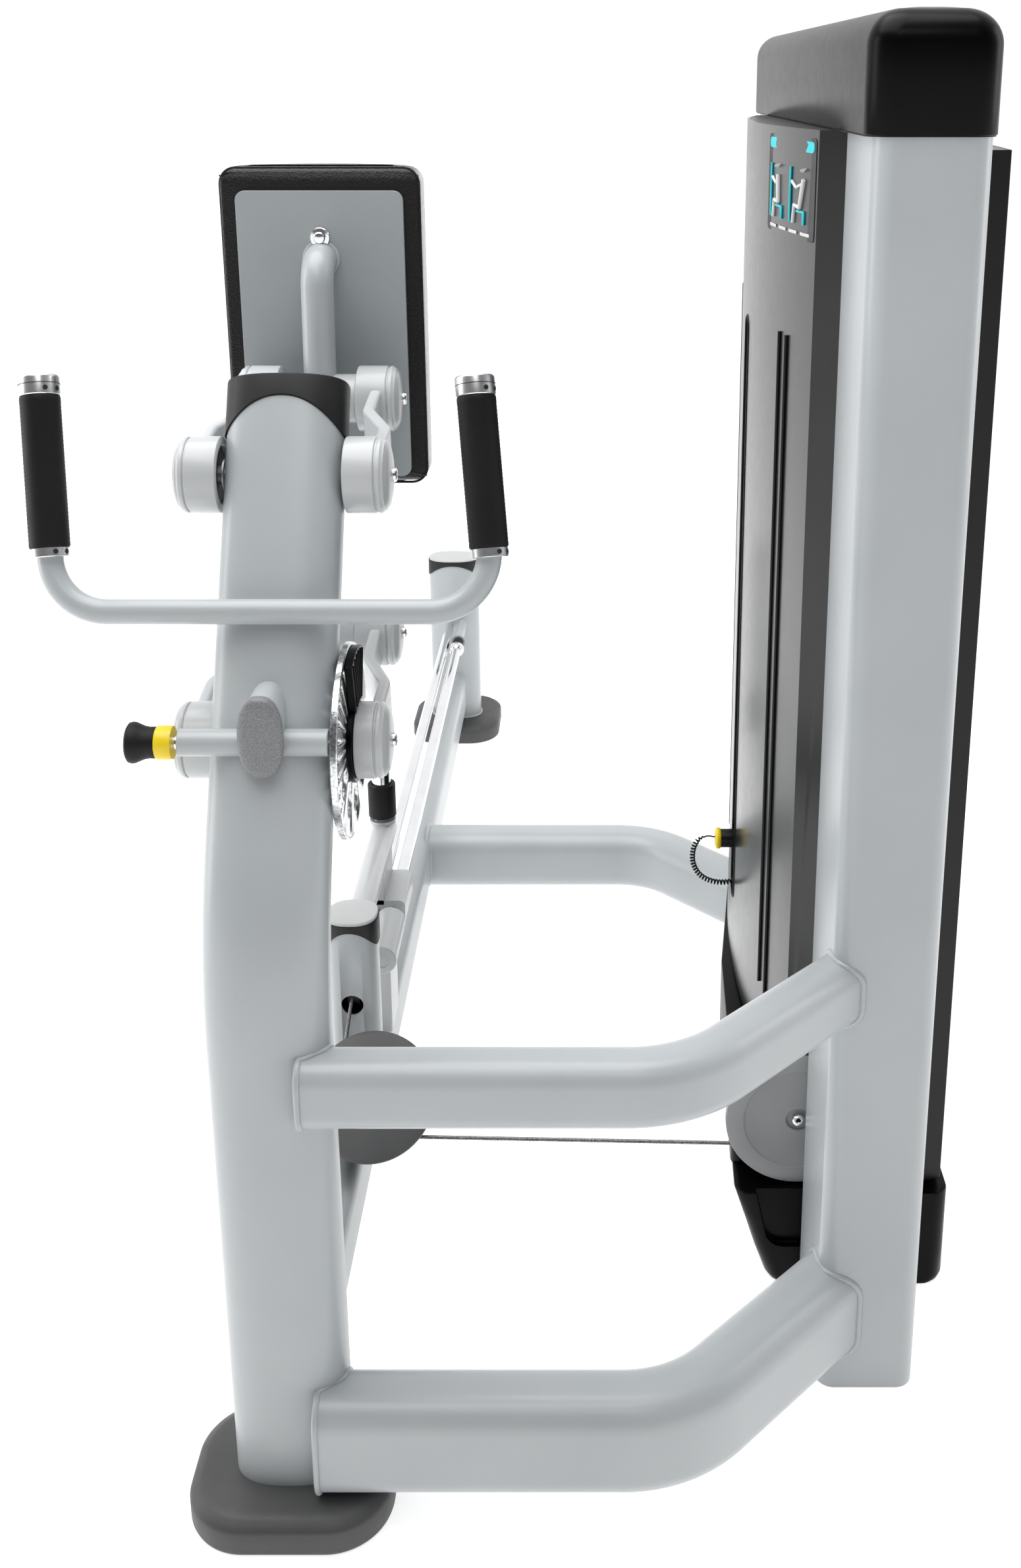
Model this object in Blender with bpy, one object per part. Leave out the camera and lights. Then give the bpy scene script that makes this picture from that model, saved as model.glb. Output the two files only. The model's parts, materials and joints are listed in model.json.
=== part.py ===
"""Seated cable row: a tube frame with a locking chest-pad arm, a cable-driven carriage and a weight tower.

Metres, +Z up. The origin is on the floor at the centre of the machine's box. The weight tower stands at +X,
the main column at -X, and the base rail runs along Y from the column to the rear post.
"""

from math import copysign, cos, pi, radians, sin, tan

import bmesh
import bpy
from mathutils import Vector

X_AXIS = Vector((1, 0, 0))
Y_AXIS = Vector((0, 1, 0))
Z_AXIS = Vector((0, 0, 1))

GAP = 0.0003
WALL = 0.003

# Main column, base rail and posts
FRAME_X = -0.271
COLUMN_WIDTH, COLUMN_DEPTH = 0.129, 0.085
COLUMN_Y = -1.097
COLUMN_BASE_Z, COLUMN_KNEE_Z, COLUMN_TOP_Z = 0.012, 0.676, 1.197
COLUMN_LEAN = radians(28.5)
COLUMN_CAP_LENGTH = 0.052
FOOT_HEIGHT = 0.0405
FRONT_FOOT = (0.226, 0.176)
FRONT_FOOT_Y = -1.103
REAR_FOOT = (0.206, 0.226)
REAR_FOOT_Y = 1.078
RAIL_WIDTH, RAIL_BASE_Z, RAIL_TOP_Z = 0.052, 0.056, 0.152
REAR_POST = (0.116, 0.085)
REAR_POST_Y, REAR_POST_TOP_Z = 1.0725, 0.427
FRONT_POST = (0.068, 0.068)
FRONT_POST_X, FRONT_POST_Y, FRONT_POST_TOP_Z = -0.264, -0.608, 0.435

# Cross tubes
CROSS_CORNER_X, CROSS_BEND = 0.150, 0.150
FRONT_CROSS_Y, FRONT_CROSS_START_X = -1.126, -0.238
LOWER_CROSS = (0.082, 0.122, 0.103)
MID_CROSS = (0.060, 0.077, 0.5385)
REAR_CROSS = (0.088, 0.108, 0.101)
REAR_CROSS_Y, REAR_CROSS_START_X, REAR_CROSS_CORNER_X = 0.2135, -0.255, 0.185

# Weight tower
TOWER_X, TOWER_Y = 0.393, -0.407
UPRIGHT = (0.1186, 0.188)
UPRIGHT_HEIGHT, UPRIGHT_SPREAD = 1.478, 0.461
BAY_HALF = UPRIGHT_SPREAD - UPRIGHT[1] / 2
CAP_X = (0.326, 0.4575)
CAP_TOP_Z, CAP_WALL, CAP_ROUND, CAP_CORNER = 1.598, 0.005, 0.035, 0.030
FRONT_SHROUD_BASE_Z, REAR_SHROUD_BASE_Z = 0.260, 0.147
SLOT_HALF, SLOT_LOW_Z, SLOT_HIGH_Z = 0.018, 0.360, 1.225
BASE_TOP_Z, BASE_FLOOR_Z, PLINTH_TOP_Z = 0.250, 0.1152, 0.140
BASE_HALF, PLINTH_HALF = 0.328, 0.383
STACK_X = 0.380
PLATE_SIZE = (0.110, 0.400)
PLATE_THICKNESS, PLATE_PITCH = 0.0245, 0.025
RESTING_PLATES = 13
STACK_LOW_Z = 0.1155
HEAD_THICKNESS = 0.030
STACK_ROD_RADIUS, STACK_ROD_SPREAD = 0.0125, 0.140
STEM_RADIUS = 0.011
BEAM_Z = (1.452, 1.474)
PIN_RADIUS = 0.004

# Pad arm
UPPER_PIVOT = Vector((FRAME_X, -0.861, 1.118))
LOWER_PIVOT = Vector((FRAME_X, -0.940, 0.842))
LINK = Vector((0, 0.2445, 0.0355))
SHAFT_RADIUS = 0.011
SHAFT_CLEARANCE = 0.0004
BOSS_RADIUS, FAR_BOSS_RADIUS = 0.0418, 0.0402
BOSS_OUTER, BOSS_INNER, DISC_SIDE_BOSS_INNER = 0.118, 0.067, 0.0795
FAR_BOSS_INNER, FAR_BOSS_OUTER = 0.047, 0.1015
DISC_RADIUS, DISC_FACES = 0.1065, (0.0657, 0.0737)
DISC_HOLE_RING, DISC_HOLE_STEP = 0.0992, radians(11)
PIN_AXIS_Y, PIN_AXIS_Z = -1.032, 0.879
HOUSING_FACE_Y, HOUSING_CAP_Z = -1.052, 0.895
PAD_TUBE_RADIUS = 0.01975
PAD_PLATE = (0.2046, 0.357, 0.006)
PAD_PLATE_Y, PAD_PLATE_LOW_Z = -0.564, 1.043
PAD_WIDTH, PAD_EDGE, PAD_CROWN = 0.245, 0.060, 0.100
PAD_Z = (1.032, 1.428)

# Handlebar
BAR_RADIUS, BAR_BEND = 0.01315, 0.060
BAR_CENTRE, BAR_HALF = Vector((-0.266, -0.979, 1.0018)), 0.2273
ARM_DIRECTION = Vector((-0.0889, 0.3344, 0.9385))
ARM_LENGTH, GRIP_START, GRIP_LENGTH, GRIP_RADIUS = 0.247, 0.066, 0.159, 0.0207

# Guide rods and carriage
ROD_RADIUS, ROD_HALF_SPREAD, ROD_Z = 0.01035, 0.0144, 0.282
ROD_BORE_CLEARANCE = 0.0005
ROD_STOP_Y = 0.853
CARRIAGE_TUBE_RADIUS, CARRIAGE_TUBE_Z = 0.01925, 0.383
CARRIAGE_POST_Y, CARRIAGE_POST_RADIUS, CARRIAGE_POST_TOP_Z = -0.247, 0.015, 0.500
CARRIAGE_FRONT_Y, CARRIAGE_REAR_Y = -0.325, -0.225

# Cable and sheaves: each sheave's radius is that of its cable's centre line
CABLE_RADIUS = 0.0025
CABLE_LEVEL_Z = 0.346
ROLLER_CENTRE, ROLLER_PATH = Vector((FRONT_POST_X, -0.6101, 0.326)), 0.020
REDIRECT_TILT = radians(45)
REDIRECT_CENTRE, REDIRECT_PATH = Vector((-0.2276, -0.7264, 0.2379)), 0.047
TOWER_SHEAVE_CENTRE, TOWER_SHEAVE_PATH = Vector((0.328, -0.7505, 0.237)), 0.052
TOP_SHEAVE_Z, TOP_SHEAVE_PATH = 1.530, 0.045
TOP_NEAR_Y, TOP_FAR_Y = -0.7055, -0.492
FLOAT_SHEAVE_Z, FLOAT_SHEAVE_PATH = 0.575, 0.040

PAINT = ("frame_paint", (0.62, 0.65, 0.66), 0.35, 0.0)
DARK_CAP = ("dark_cap", (0.09, 0.09, 0.095), 0.55, 0.0)
LIGHT_CAP = ("light_cap", (0.60, 0.62, 0.62), 0.4, 0.0)
RUBBER = ("black_rubber", (0.02, 0.02, 0.02), 0.8, 0.0)
GLOSS_BLACK = ("gloss_black", (0.015, 0.015, 0.016), 0.15, 0.0)
SATIN_BLACK = ("satin_black", (0.05, 0.05, 0.052), 0.4, 0.0)
CHROME = ("chrome", (0.8, 0.8, 0.8), 0.1, 1.0)
STEEL = ("steel", (0.5, 0.5, 0.5), 0.35, 1.0)
LEATHER = ("leather", (0.02, 0.02, 0.022), 0.5, 0.0)
COVER_GREY = ("cover_grey", (0.35, 0.35, 0.35), 0.4, 0.0)
PLATE_PAINT = ("plate_paint", (0.06, 0.06, 0.06), 0.5, 0.0)


def clear_scene():
    for obj in list(bpy.data.objects):
        bpy.data.objects.remove(obj)


def material(finish):
    name, colour, roughness, metallic = finish
    found = bpy.data.materials.get(name)
    if found:
        return found
    made = bpy.data.materials.new(name)
    made.use_nodes = True
    shader = made.node_tree.nodes["Principled BSDF"]
    shader.inputs["Base Color"].default_value = (*colour, 1)
    shader.inputs["Roughness"].default_value = roughness
    shader.inputs["Metallic"].default_value = metallic
    return made


# Sections: lists of (a, b) points around a centre


def circle(radius, steps=14):
    return [(radius * cos(2 * pi * i / steps), radius * sin(2 * pi * i / steps)) for i in range(steps)]


def oval(width, depth, steps=20, power=2.5):
    """A superellipse: flatter than an ellipse on its long sides."""
    points = []
    for i in range(steps):
        c, s = cos(2 * pi * i / steps), sin(2 * pi * i / steps)
        a = copysign(abs(c) ** (2 / power), c) * width / 2
        b = copysign(abs(s) ** (2 / power), s) * depth / 2
        points.append((a, b))
    return points


def rounded_rect(width, height, radius, steps=2):
    points = []
    for quarter, (sx, sy) in enumerate(((1, 1), (-1, 1), (-1, -1), (1, -1))):
        for i in range(steps + 1):
            angle = (quarter + i / steps) * pi / 2
            a = sx * (width / 2 - radius) + radius * cos(angle)
            b = sy * (height / 2 - radius) + radius * sin(angle)
            points.append((a, b))
    return points


# Paths


def rounded_path(corners, radius, steps=6):
    """Straight runs with an arc of this radius at each inner corner."""
    corners = [Vector(c) for c in corners]
    points = [corners[0]]
    for before, corner, after in zip(corners, corners[1:], corners[2:]):
        arrive = (corner - before).normalized()
        leave = (after - corner).normalized()
        turn = arrive.angle(leave)
        start = corner - arrive * radius * tan(turn / 2)
        inward = (leave - arrive * arrive.dot(leave)).normalized()
        for i in range(steps + 1):
            angle = turn * i / steps
            points.append(start + arrive * radius * sin(angle) + inward * radius * (1 - cos(angle)))
    points.append(corners[-1])
    return points


def arc(centre, u, v, radius, start, end, step=12):
    """Points on a circle in the plane of u and v, with its angles in degrees."""
    count = max(2, round(abs(end - start) / step))
    angles = [radians(start + (end - start) * i / count) for i in range(count + 1)]
    return [centre + u * radius * cos(a) + v * radius * sin(a) for a in angles]


# Rings and skins


def swept_rings(path, side, section):
    """The section at each point of a path that lies in the plane square to side."""
    side = Vector(side).normalized()
    rings = []
    for i, point in enumerate(path):
        before, after = path[max(i - 1, 0)], path[min(i + 1, len(path) - 1)]
        arrive = (point - before if i else after - point).normalized()
        leave = (after - point if after != point else point - before).normalized()
        along = (arrive + leave).normalized()
        across = along.cross(side) / along.dot(arrive)
        rings.append([point + side * a + across * b for a, b in section])
    return rings


def basis(axis):
    axis = Vector(axis).normalized()
    guide = Z_AXIS if abs(axis.z) < 0.9 else X_AXIS
    u = axis.cross(guide).normalized()
    return axis, u, axis.cross(u)


def turned_rings(profile, centre, axis, steps):
    """Circles of each (radius, height) of the profile around an axis."""
    axis, u, v = basis(axis)
    return [[centre + axis * h + u * a + v * b for a, b in circle(r, steps)] for r, h in profile]


def skin(rings, closed=False):
    """A closed body from rings of equal count: end faces, or the last ring joined back to the first."""
    bm = bmesh.new()
    loops = [[bm.verts.new(p) for p in ring] for ring in rings]
    pairs = list(zip(loops, loops[1:]))
    if closed:
        pairs.append((loops[-1], loops[0]))
    for low, high in pairs:
        for i in range(len(low)):
            j = (i + 1) % len(low)
            bm.faces.new((low[i], low[j], high[j], high[i]))
    if not closed:
        bm.faces.new(list(reversed(loops[0])))
        bm.faces.new(loops[-1])
    bmesh.ops.recalc_face_normals(bm, faces=bm.faces)
    return bm


def place(name, bm, finish, origin=(0, 0, 0)):
    """An object with its origin at the given point, and its mesh where it was built."""
    origin = Vector(origin)
    bmesh.ops.translate(bm, verts=bm.verts, vec=-origin)
    mesh = bpy.data.meshes.new(name)
    bm.to_mesh(mesh)
    bm.free()
    mesh.shade_smooth()
    mesh.set_sharp_from_angle(angle=radians(35))
    mesh.materials.append(material(finish))
    obj = bpy.data.objects.new(name, mesh)
    obj.location = origin
    bpy.context.scene.collection.objects.link(obj)
    return obj


# Bodies


def solid(name, path, side, section, finish, origin=(0, 0, 0)):
    return place(name, skin(swept_rings(path, side, section)), finish, origin)


def hollow(name, path, side, outer, inner, finish, origin=(0, 0, 0)):
    rings = swept_rings(path, side, outer) + list(reversed(swept_rings(path, side, inner)))
    return place(name, skin(rings, closed=True), finish, origin)


def turned(name, profile, centre, axis, finish, steps=20, closed=False, origin=None):
    rings = turned_rings(profile, Vector(centre), axis, steps)
    return place(name, skin(rings, closed), finish, centre if origin is None else origin)


def rod(name, start, end, radius, finish, steps=14, origin=None):
    start, end = Vector(start), Vector(end)
    profile = [(radius, 0), (radius, (end - start).length)]
    return turned(name, profile, start, end - start, finish, steps, origin=start if origin is None else origin)


def prism(name, outline, axis, low, high, finish, origin=(0, 0, 0)):
    """An outline of points in the plane square to a row axis, extruded from low to high along it."""
    spread = {"X": lambda a, b, h: (h, a, b), "Y": lambda a, b, h: (a, h, b), "Z": lambda a, b, h: (a, b, h)}[axis]
    rings = [[Vector(spread(a, b, h)) for a, b in outline] for h in (low, high)]
    return place(name, skin(rings), finish, origin)


def box(name, low, high, finish=PAINT, origin=(0, 0, 0)):
    outline = [(low[0], low[1]), (high[0], low[1]), (high[0], high[1]), (low[0], high[1])]
    return prism(name, outline, "Z", low[2], high[2], finish, origin)


def shifted(section, a, b):
    return [(p + a, q + b) for p, q in section]


def boolean(target, tool, operation):
    modifier = target.modifiers.new(operation.title(), "BOOLEAN")
    modifier.operation = operation
    modifier.object = tool
    tool.hide_render = True
    tool.display_type = "WIRE"


def cut(target, *tools):
    for tool in tools:
        boolean(target, tool, "DIFFERENCE")


def join(target, *tools):
    for tool in tools:
        boolean(target, tool, "UNION")


# Frame


def column_path(base=COLUMN_BASE_Z, top=COLUMN_TOP_Z):
    lean = (top - COLUMN_KNEE_Z) * tan(COLUMN_LEAN)
    corners = [(FRAME_X, COLUMN_Y, base), (FRAME_X, COLUMN_Y, COLUMN_KNEE_Z), (FRAME_X, COLUMN_Y + lean, top)]
    return rounded_path(corners, 0.40, 5)


def column_tool(margin=GAP, base=COLUMN_BASE_Z - GAP, top=COLUMN_TOP_Z, name="column_tool"):
    section = oval(COLUMN_WIDTH + 2 * margin, COLUMN_DEPTH + 2 * margin)
    return solid(name, column_path(base, top), X_AXIS, section, PAINT)


def upright_tool(name, y):
    section = rounded_rect(UPRIGHT[0] + 2 * GAP, UPRIGHT[1] + 2 * GAP, 0.022 + GAP, 4)
    return prism(name, shifted(section, TOWER_X, y), "Z", -0.1, UPRIGHT_HEIGHT + 0.1, PAINT)


def rail_section(margin=0.0):
    return rounded_rect(RAIL_WIDTH + 2 * margin, RAIL_TOP_Z - RAIL_BASE_Z + 2 * margin, 0.022 + margin)


def rail_path():
    z = (RAIL_TOP_Z + RAIL_BASE_Z) / 2
    return [Vector((FRAME_X, COLUMN_Y, z)), Vector((FRAME_X, REAR_POST_Y, z))]


def main_column(tool_housing):
    inner = oval(COLUMN_WIDTH - 2 * WALL, COLUMN_DEPTH - 2 * WALL)
    column = hollow("main_column", column_path(), X_AXIS, oval(COLUMN_WIDTH, COLUMN_DEPTH), inner, PAINT)
    half = X_AXIS * 0.0630
    pivot_tube = rod("pivot_tube", LOWER_PIVOT - half, LOWER_PIVOT + half, 0.028, PAINT, 20)
    join(column, pivot_tube)
    reach = X_AXIS * 0.2
    for label, pivot in (("upper", UPPER_PIVOT), ("lower", LOWER_PIVOT)):
        cut(column, rod(label + "_bore_tool", pivot - reach, pivot + reach, SHAFT_RADIUS + GAP, PAINT))
    cut(column, tool_housing)


def column_cap():
    up = Vector((0, sin(COLUMN_LEAN), cos(COLUMN_LEAN)))
    front = Vector((0, cos(COLUMN_LEAN), -sin(COLUMN_LEAN)))
    top = column_path()[-1]
    path = [top - up * (COLUMN_CAP_LENGTH - 0.012), top + up * 0.008, top + up * 0.0125]
    cap = solid("column_cap", path, X_AXIS, oval(COLUMN_WIDTH + 0.004, COLUMN_DEPTH + 0.004), DARK_CAP)
    centre = top - up * 0.083
    bow = rod("column_cap_bow", centre - front * 0.2, centre + front * 0.2, 0.070, DARK_CAP, 32)
    plug = solid("column_cap_plug", [top - up * 0.1, top + up * GAP], X_AXIS,
                 oval(COLUMN_WIDTH + 2 * GAP, COLUMN_DEPTH + 2 * GAP), DARK_CAP)
    cut(cap, bow, plug)


def post_cap(name, x, y, size, post_top):
    """A dark saddle band round the post's top, closed by a light lid."""
    margin = 0.003
    path = [Vector((x, y, post_top - 0.030)), Vector((x, y, post_top + 0.008)), Vector((x, y, post_top + 0.012))]
    cap = solid(name, path, X_AXIS, oval(size[0] + margin, size[1] + margin), DARK_CAP)
    drop = size[0] * 0.55
    centre = Vector((x, y, post_top - 0.004 - drop))
    bow = rod(name + "_bow", centre - Y_AXIS * 0.2, centre + Y_AXIS * 0.2, drop, DARK_CAP, 28)
    plug = solid(name + "_plug", [Vector((x, y, post_top - 0.1)), Vector((x, y, post_top + GAP))], X_AXIS,
                 oval(size[0] + 2 * GAP, size[1] + 2 * GAP), DARK_CAP)
    cut(cap, bow, plug)


def foot(name, size, centre_y, pocket):
    steps = 6
    rings = []
    for z, inset in ((0, 0.002), (0.004, 0), (0.026, 0), (0.034, 0.004), (FOOT_HEIGHT, 0.016)):
        section = rounded_rect(size[0] - 2 * inset, size[1] - 2 * inset, 0.068 - inset, steps)
        rings.append([Vector((FRAME_X + a, centre_y + b, z)) for a, b in section])
    body = place(name, skin(rings), RUBBER)
    cut(body, pocket)


def rear_post():
    path = [Vector((FRAME_X, REAR_POST_Y, COLUMN_BASE_Z)), Vector((FRAME_X, REAR_POST_Y, REAR_POST_TOP_Z))]
    inner = oval(REAR_POST[0] - 2 * WALL, REAR_POST[1] - 2 * WALL)
    post = hollow("rear_post", path, X_AXIS, oval(*REAR_POST), inner, PAINT)
    stub_x = FRONT_POST_X + ROD_HALF_SPREAD
    stub = rod("rod_stub", (stub_x, 0.901, ROD_Z), (stub_x, REAR_POST_Y - 0.02, ROD_Z), 0.0103, PAINT)
    join(post, stub)
    post_cap("rear_post_cap", FRAME_X, REAR_POST_Y, REAR_POST, REAR_POST_TOP_Z)
    tool_path = [path[0] - Z_AXIS * GAP, path[1] + Z_AXIS * 0.1]
    tool = solid("rear_post_tool", tool_path, X_AXIS, oval(REAR_POST[0] + 2 * GAP, REAR_POST[1] + 2 * GAP), PAINT)
    foot("rear_post_foot", REAR_FOOT, REAR_FOOT_Y, tool)
    return tool


def front_post(rail_tool):
    low, high = Vector((FRONT_POST_X, FRONT_POST_Y, 0.130)), Vector((FRONT_POST_X, FRONT_POST_Y, FRONT_POST_TOP_Z))
    inner = oval(FRONT_POST[0] - 2 * WALL, FRONT_POST[1] - 2 * WALL)
    post = hollow("front_post", [low, high], X_AXIS, oval(*FRONT_POST), inner, PAINT)
    face_y = FRONT_POST_Y - FRONT_POST[1] / 2
    exit_z = ROLLER_CENTRE.z + ROLLER_PATH * 2 ** 0.5 - (ROLLER_CENTRE.y - face_y)
    hole = rod("cable_hole", (FRONT_POST_X, -0.70, exit_z), (FRONT_POST_X, FRONT_POST_Y, exit_z), 0.015, PAINT, 24)
    slot = rod("cable_rear_hole", (FRONT_POST_X, FRONT_POST_Y, CABLE_LEVEL_Z), (FRONT_POST_X, -0.50, CABLE_LEVEL_Z),
               0.008, PAINT, 12)
    cut(post, rail_tool, hole, slot)
    post_cap("front_post_cap", FRONT_POST_X, FRONT_POST_Y, FRONT_POST, FRONT_POST_TOP_Z)


def cross_tube(name, size, start_x, y, corner_x, target, tools):
    """A tube square to the rail that bends in plan towards an upright."""
    depth, height, z = size
    target = Vector((TOWER_X, target, z))
    run = (corner_x, y, z)
    path = rounded_path([(start_x, y, z), run, target], CROSS_BEND, 5)
    radius = min(depth, height) * 0.39
    tube = solid(name, path, Z_AXIS, rounded_rect(height, depth, radius), PAINT)
    path[0] = path[0] + X_AXIS * WALL
    inner = rounded_rect(height - 2 * WALL, depth - 2 * WALL, radius - WALL)
    cut(tube, solid(name + "_inside", path, Z_AXIS, inner, PAINT))
    cut(tube, *tools)


def handlebar(column):
    """A U of round tube, whose arms rise from the bar and tilt back."""
    rise = ARM_DIRECTION.normalized()
    left, right = BAR_CENTRE - X_AXIS * BAR_HALF, BAR_CENTRE + X_AXIS * BAR_HALF
    corners = [left + rise * ARM_LENGTH, left, right, right + rise * ARM_LENGTH]
    normal = X_AXIS.cross(rise)
    bar = solid("handlebar", rounded_path(corners, BAR_BEND, 5), normal, circle(BAR_RADIUS, 14), PAINT)
    cut(bar, column)
    for label, foot_point in (("left", left), ("right", right)):
        grip(label, foot_point, rise)


def grip(label, foot_point, rise):
    inner = BAR_RADIUS + GAP
    start, end = GRIP_START, GRIP_START + GRIP_LENGTH
    profile = [(inner, start), (GRIP_RADIUS - 0.001, start), (GRIP_RADIUS, start + 0.002),
               (GRIP_RADIUS, end - 0.002), (GRIP_RADIUS - 0.001, end), (inner, end)]
    turned("grip_" + label, profile, foot_point, rise, RUBBER, 20, closed=True)


def build_frame():
    column = column_tool()
    housing = pin_housing()
    main_column(housing)
    column_cap()
    foot("column_foot", FRONT_FOOT, FRONT_FOOT_Y, column)
    post = rear_post()
    inner = rounded_rect(RAIL_WIDTH - 2 * WALL, RAIL_TOP_Z - RAIL_BASE_Z - 2 * WALL, 0.019)
    rail = hollow("base_rail", rail_path(), X_AXIS, rail_section(), inner, PAINT)
    cut(rail, column, post)
    rail_tool = solid("rail_tool", rail_path(), X_AXIS, rail_section(GAP), PAINT)
    front_post(rail_tool)
    near, far = TOWER_Y - UPRIGHT_SPREAD, TOWER_Y + UPRIGHT_SPREAD
    near_tool, far_tool = upright_tool("near_tool", near), upright_tool("far_tool", far)
    bend_y = FRONT_CROSS_Y + TOWER_X - CROSS_CORNER_X
    cross_tube("lower_cross_tube", LOWER_CROSS, FRONT_CROSS_START_X, FRONT_CROSS_Y, CROSS_CORNER_X, bend_y,
               (column, near_tool, rail_tool))
    cross_tube("mid_cross_tube", MID_CROSS, FRONT_CROSS_START_X, FRONT_CROSS_Y, CROSS_CORNER_X, bend_y, (column, near_tool))
    rear_y = REAR_CROSS_Y - TOWER_X + REAR_CROSS_CORNER_X
    cross_tube("rear_cross_tube", REAR_CROSS, REAR_CROSS_START_X, REAR_CROSS_Y, REAR_CROSS_CORNER_X, rear_y,
               (rail_tool, far_tool))
    for label, y in (("near", near), ("far", far)):
        outer = shifted(rounded_rect(*UPRIGHT, 0.022, 4), TOWER_X, y)
        inner = shifted(rounded_rect(UPRIGHT[0] - 2 * WALL, UPRIGHT[1] - 2 * WALL, 0.019, 4), TOWER_X, y)
        rings = [[Vector((a, b, z)) for a, b in section] for section, z in
                 ((outer, 0), (outer, UPRIGHT_HEIGHT), (inner, UPRIGHT_HEIGHT), (inner, 0))]
        place(label + "_upright", skin(rings, closed=True), PAINT)
    handlebar(column)


# Pull pin


def pin_housing():
    """A tube across the column's front with an oval stub and cap. Returns the cutter for its seat."""
    left, right = Vector((-0.3600, PIN_AXIS_Y, PIN_AXIS_Z)), Vector((-0.2068, PIN_AXIS_Y, PIN_AXIS_Z))
    tube = rod("pin_housing", left, right, 0.014, PAINT, 20)
    stub_outline = shifted(oval(0.040, 0.080), FRAME_X, HOUSING_CAP_Z)
    stub = prism("housing_stub", stub_outline, "Y", HOUSING_FACE_Y, -1.0100, PAINT)
    cut(stub, column_tool(name="stub_column_tool"))
    join(tube, stub)
    reach = X_AXIS * 0.1
    cut(tube, rod("plunger_bore", left - reach, right + reach, PIN_RADIUS + 0.0006, PAINT, 12))
    rings = []
    for depth, inset in ((0, 0.001), (0.004, 0), (0.009, 0.004), (0.0125, 0.012)):
        section = oval(0.046 - 2 * inset, 0.087 - 2 * inset)
        rings.append([Vector((FRAME_X + a, HOUSING_FACE_Y - GAP - depth, HOUSING_CAP_Z + b)) for a, b in section])
    place("housing_cap", skin(rings), DARK_CAP)
    return rod("housing_seat", left, right, 0.014 + GAP, PAINT, 20)


def pull_pin():
    axis_point = Vector((-0.413, PIN_AXIS_Y, PIN_AXIS_Z))
    knob = [(0.015, 0), (0.0214, 0.002), (0.0214, 0.008), (0.0165, 0.022), (0.0175, 0.034), (0.0175, 0.047),
            (0.0120, 0.047), (0.0079, 0.047), (0.0079, 0.012)]
    turned("pull_knob", knob, axis_point, X_AXIS, RUBBER, 20, origin=axis_point)
    pin = [(0.0075, 0.0125), (0.0075, 0.0525), (PIN_RADIUS, 0.0525), (PIN_RADIUS, 0.2072)]
    turned("plunger", pin, axis_point, X_AXIS, CHROME, 12, origin=axis_point)


# Pad arm


def link(name, near, side, inner, column_side_recess):
    """A cast arm with a boss at each end, which steps towards the machine's middle between them."""
    along = LINK.normalized()
    out = X_AXIS * side
    far = near + LINK
    depth = BOSS_OUTER - inner
    profile = [(0.0400, 0), (BOSS_RADIUS, 0.002), (BOSS_RADIUS, depth - 0.016), (0.0385, depth - 0.015),
               (0.0375, depth - 0.006), (0.026, depth)]
    boss = turned(name, profile, near + out * inner, out, PAINT, 20, origin=near)
    far_depth = FAR_BOSS_OUTER - FAR_BOSS_INNER
    far_profile = [(0.0385, 0), (FAR_BOSS_RADIUS, 0.002), (FAR_BOSS_RADIUS, far_depth - 0.016),
                   (0.0370, far_depth - 0.015), (0.0360, far_depth - 0.006), (0.025, far_depth)]
    far_boss = turned(name + "_far", far_profile, far + out * FAR_BOSS_INNER, out, PAINT, 20)
    stations = ((0.015, 0.096), (0.092, 0.098), (0.150, 0.072), (LINK.length - 0.012, 0.072))
    path = rounded_path([near + along * s + out * offset for s, offset in stations], 0.03, 4)
    arm = solid(name + "_arm", path, along.cross(out), rounded_rect(0.044, 0.014, 0.004, 2), PAINT)
    join(boss, far_boss, arm)
    radius = SHAFT_RADIUS + SHAFT_CLEARANCE
    cut(boss, rod(name + "_bore", near, near + out * 0.112, radius, PAINT))
    cut(boss, rod(name + "_far_bore", far, far + out * 0.0985, radius, PAINT))
    if column_side_recess:
        cut(boss, rod(name + "_recess", near, near + out * (inner + 0.026), 0.032, PAINT, 24))


def pivot_shafts():
    for label, pivot in (("upper", UPPER_PIVOT), ("lower", LOWER_PIVOT)):
        half = X_AXIS * 0.1115
        rod(label + "_pivot_shaft", pivot - half, pivot + half, SHAFT_RADIUS, STEEL)


def index_disc():
    x0, x1 = DISC_FACES
    inner = SHAFT_RADIUS + SHAFT_CLEARANCE
    profile = [(inner, x0), (DISC_RADIUS - 0.001, x0), (DISC_RADIUS, x0 + 0.001), (DISC_RADIUS, x1 - 0.001),
               (DISC_RADIUS - 0.001, x1), (inner, x1)]
    disc = turned("index_disc", profile, LOWER_PIVOT, X_AXIS, CHROME, 40, closed=True)
    to_pin = Vector((0, PIN_AXIS_Y, PIN_AXIS_Z)) - Vector((0, LOWER_PIVOT.y, LOWER_PIVOT.z))
    across = X_AXIS.cross(to_pin)
    tools = []
    for i in range(-4, 5):
        angle = i * DISC_HOLE_STEP
        spot = LOWER_PIVOT + (to_pin * cos(angle) + across * sin(angle)) * DISC_HOLE_RING / to_pin.length
        tools.append(rod("index_hole_%d" % (i + 5), spot, spot + X_AXIS * 0.2, 0.0048, CHROME, 8))
    for i in range(4):
        angle = radians(200 + 36 * i)
        spot = LOWER_PIVOT + (Y_AXIS * cos(angle) + Z_AXIS * sin(angle)) * 0.070
        tools.append(rod("disc_cutout_%d" % (i + 1), spot, spot + X_AXIS * 0.2, 0.016, CHROME, 10))
    cut(disc, *tools)


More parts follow.
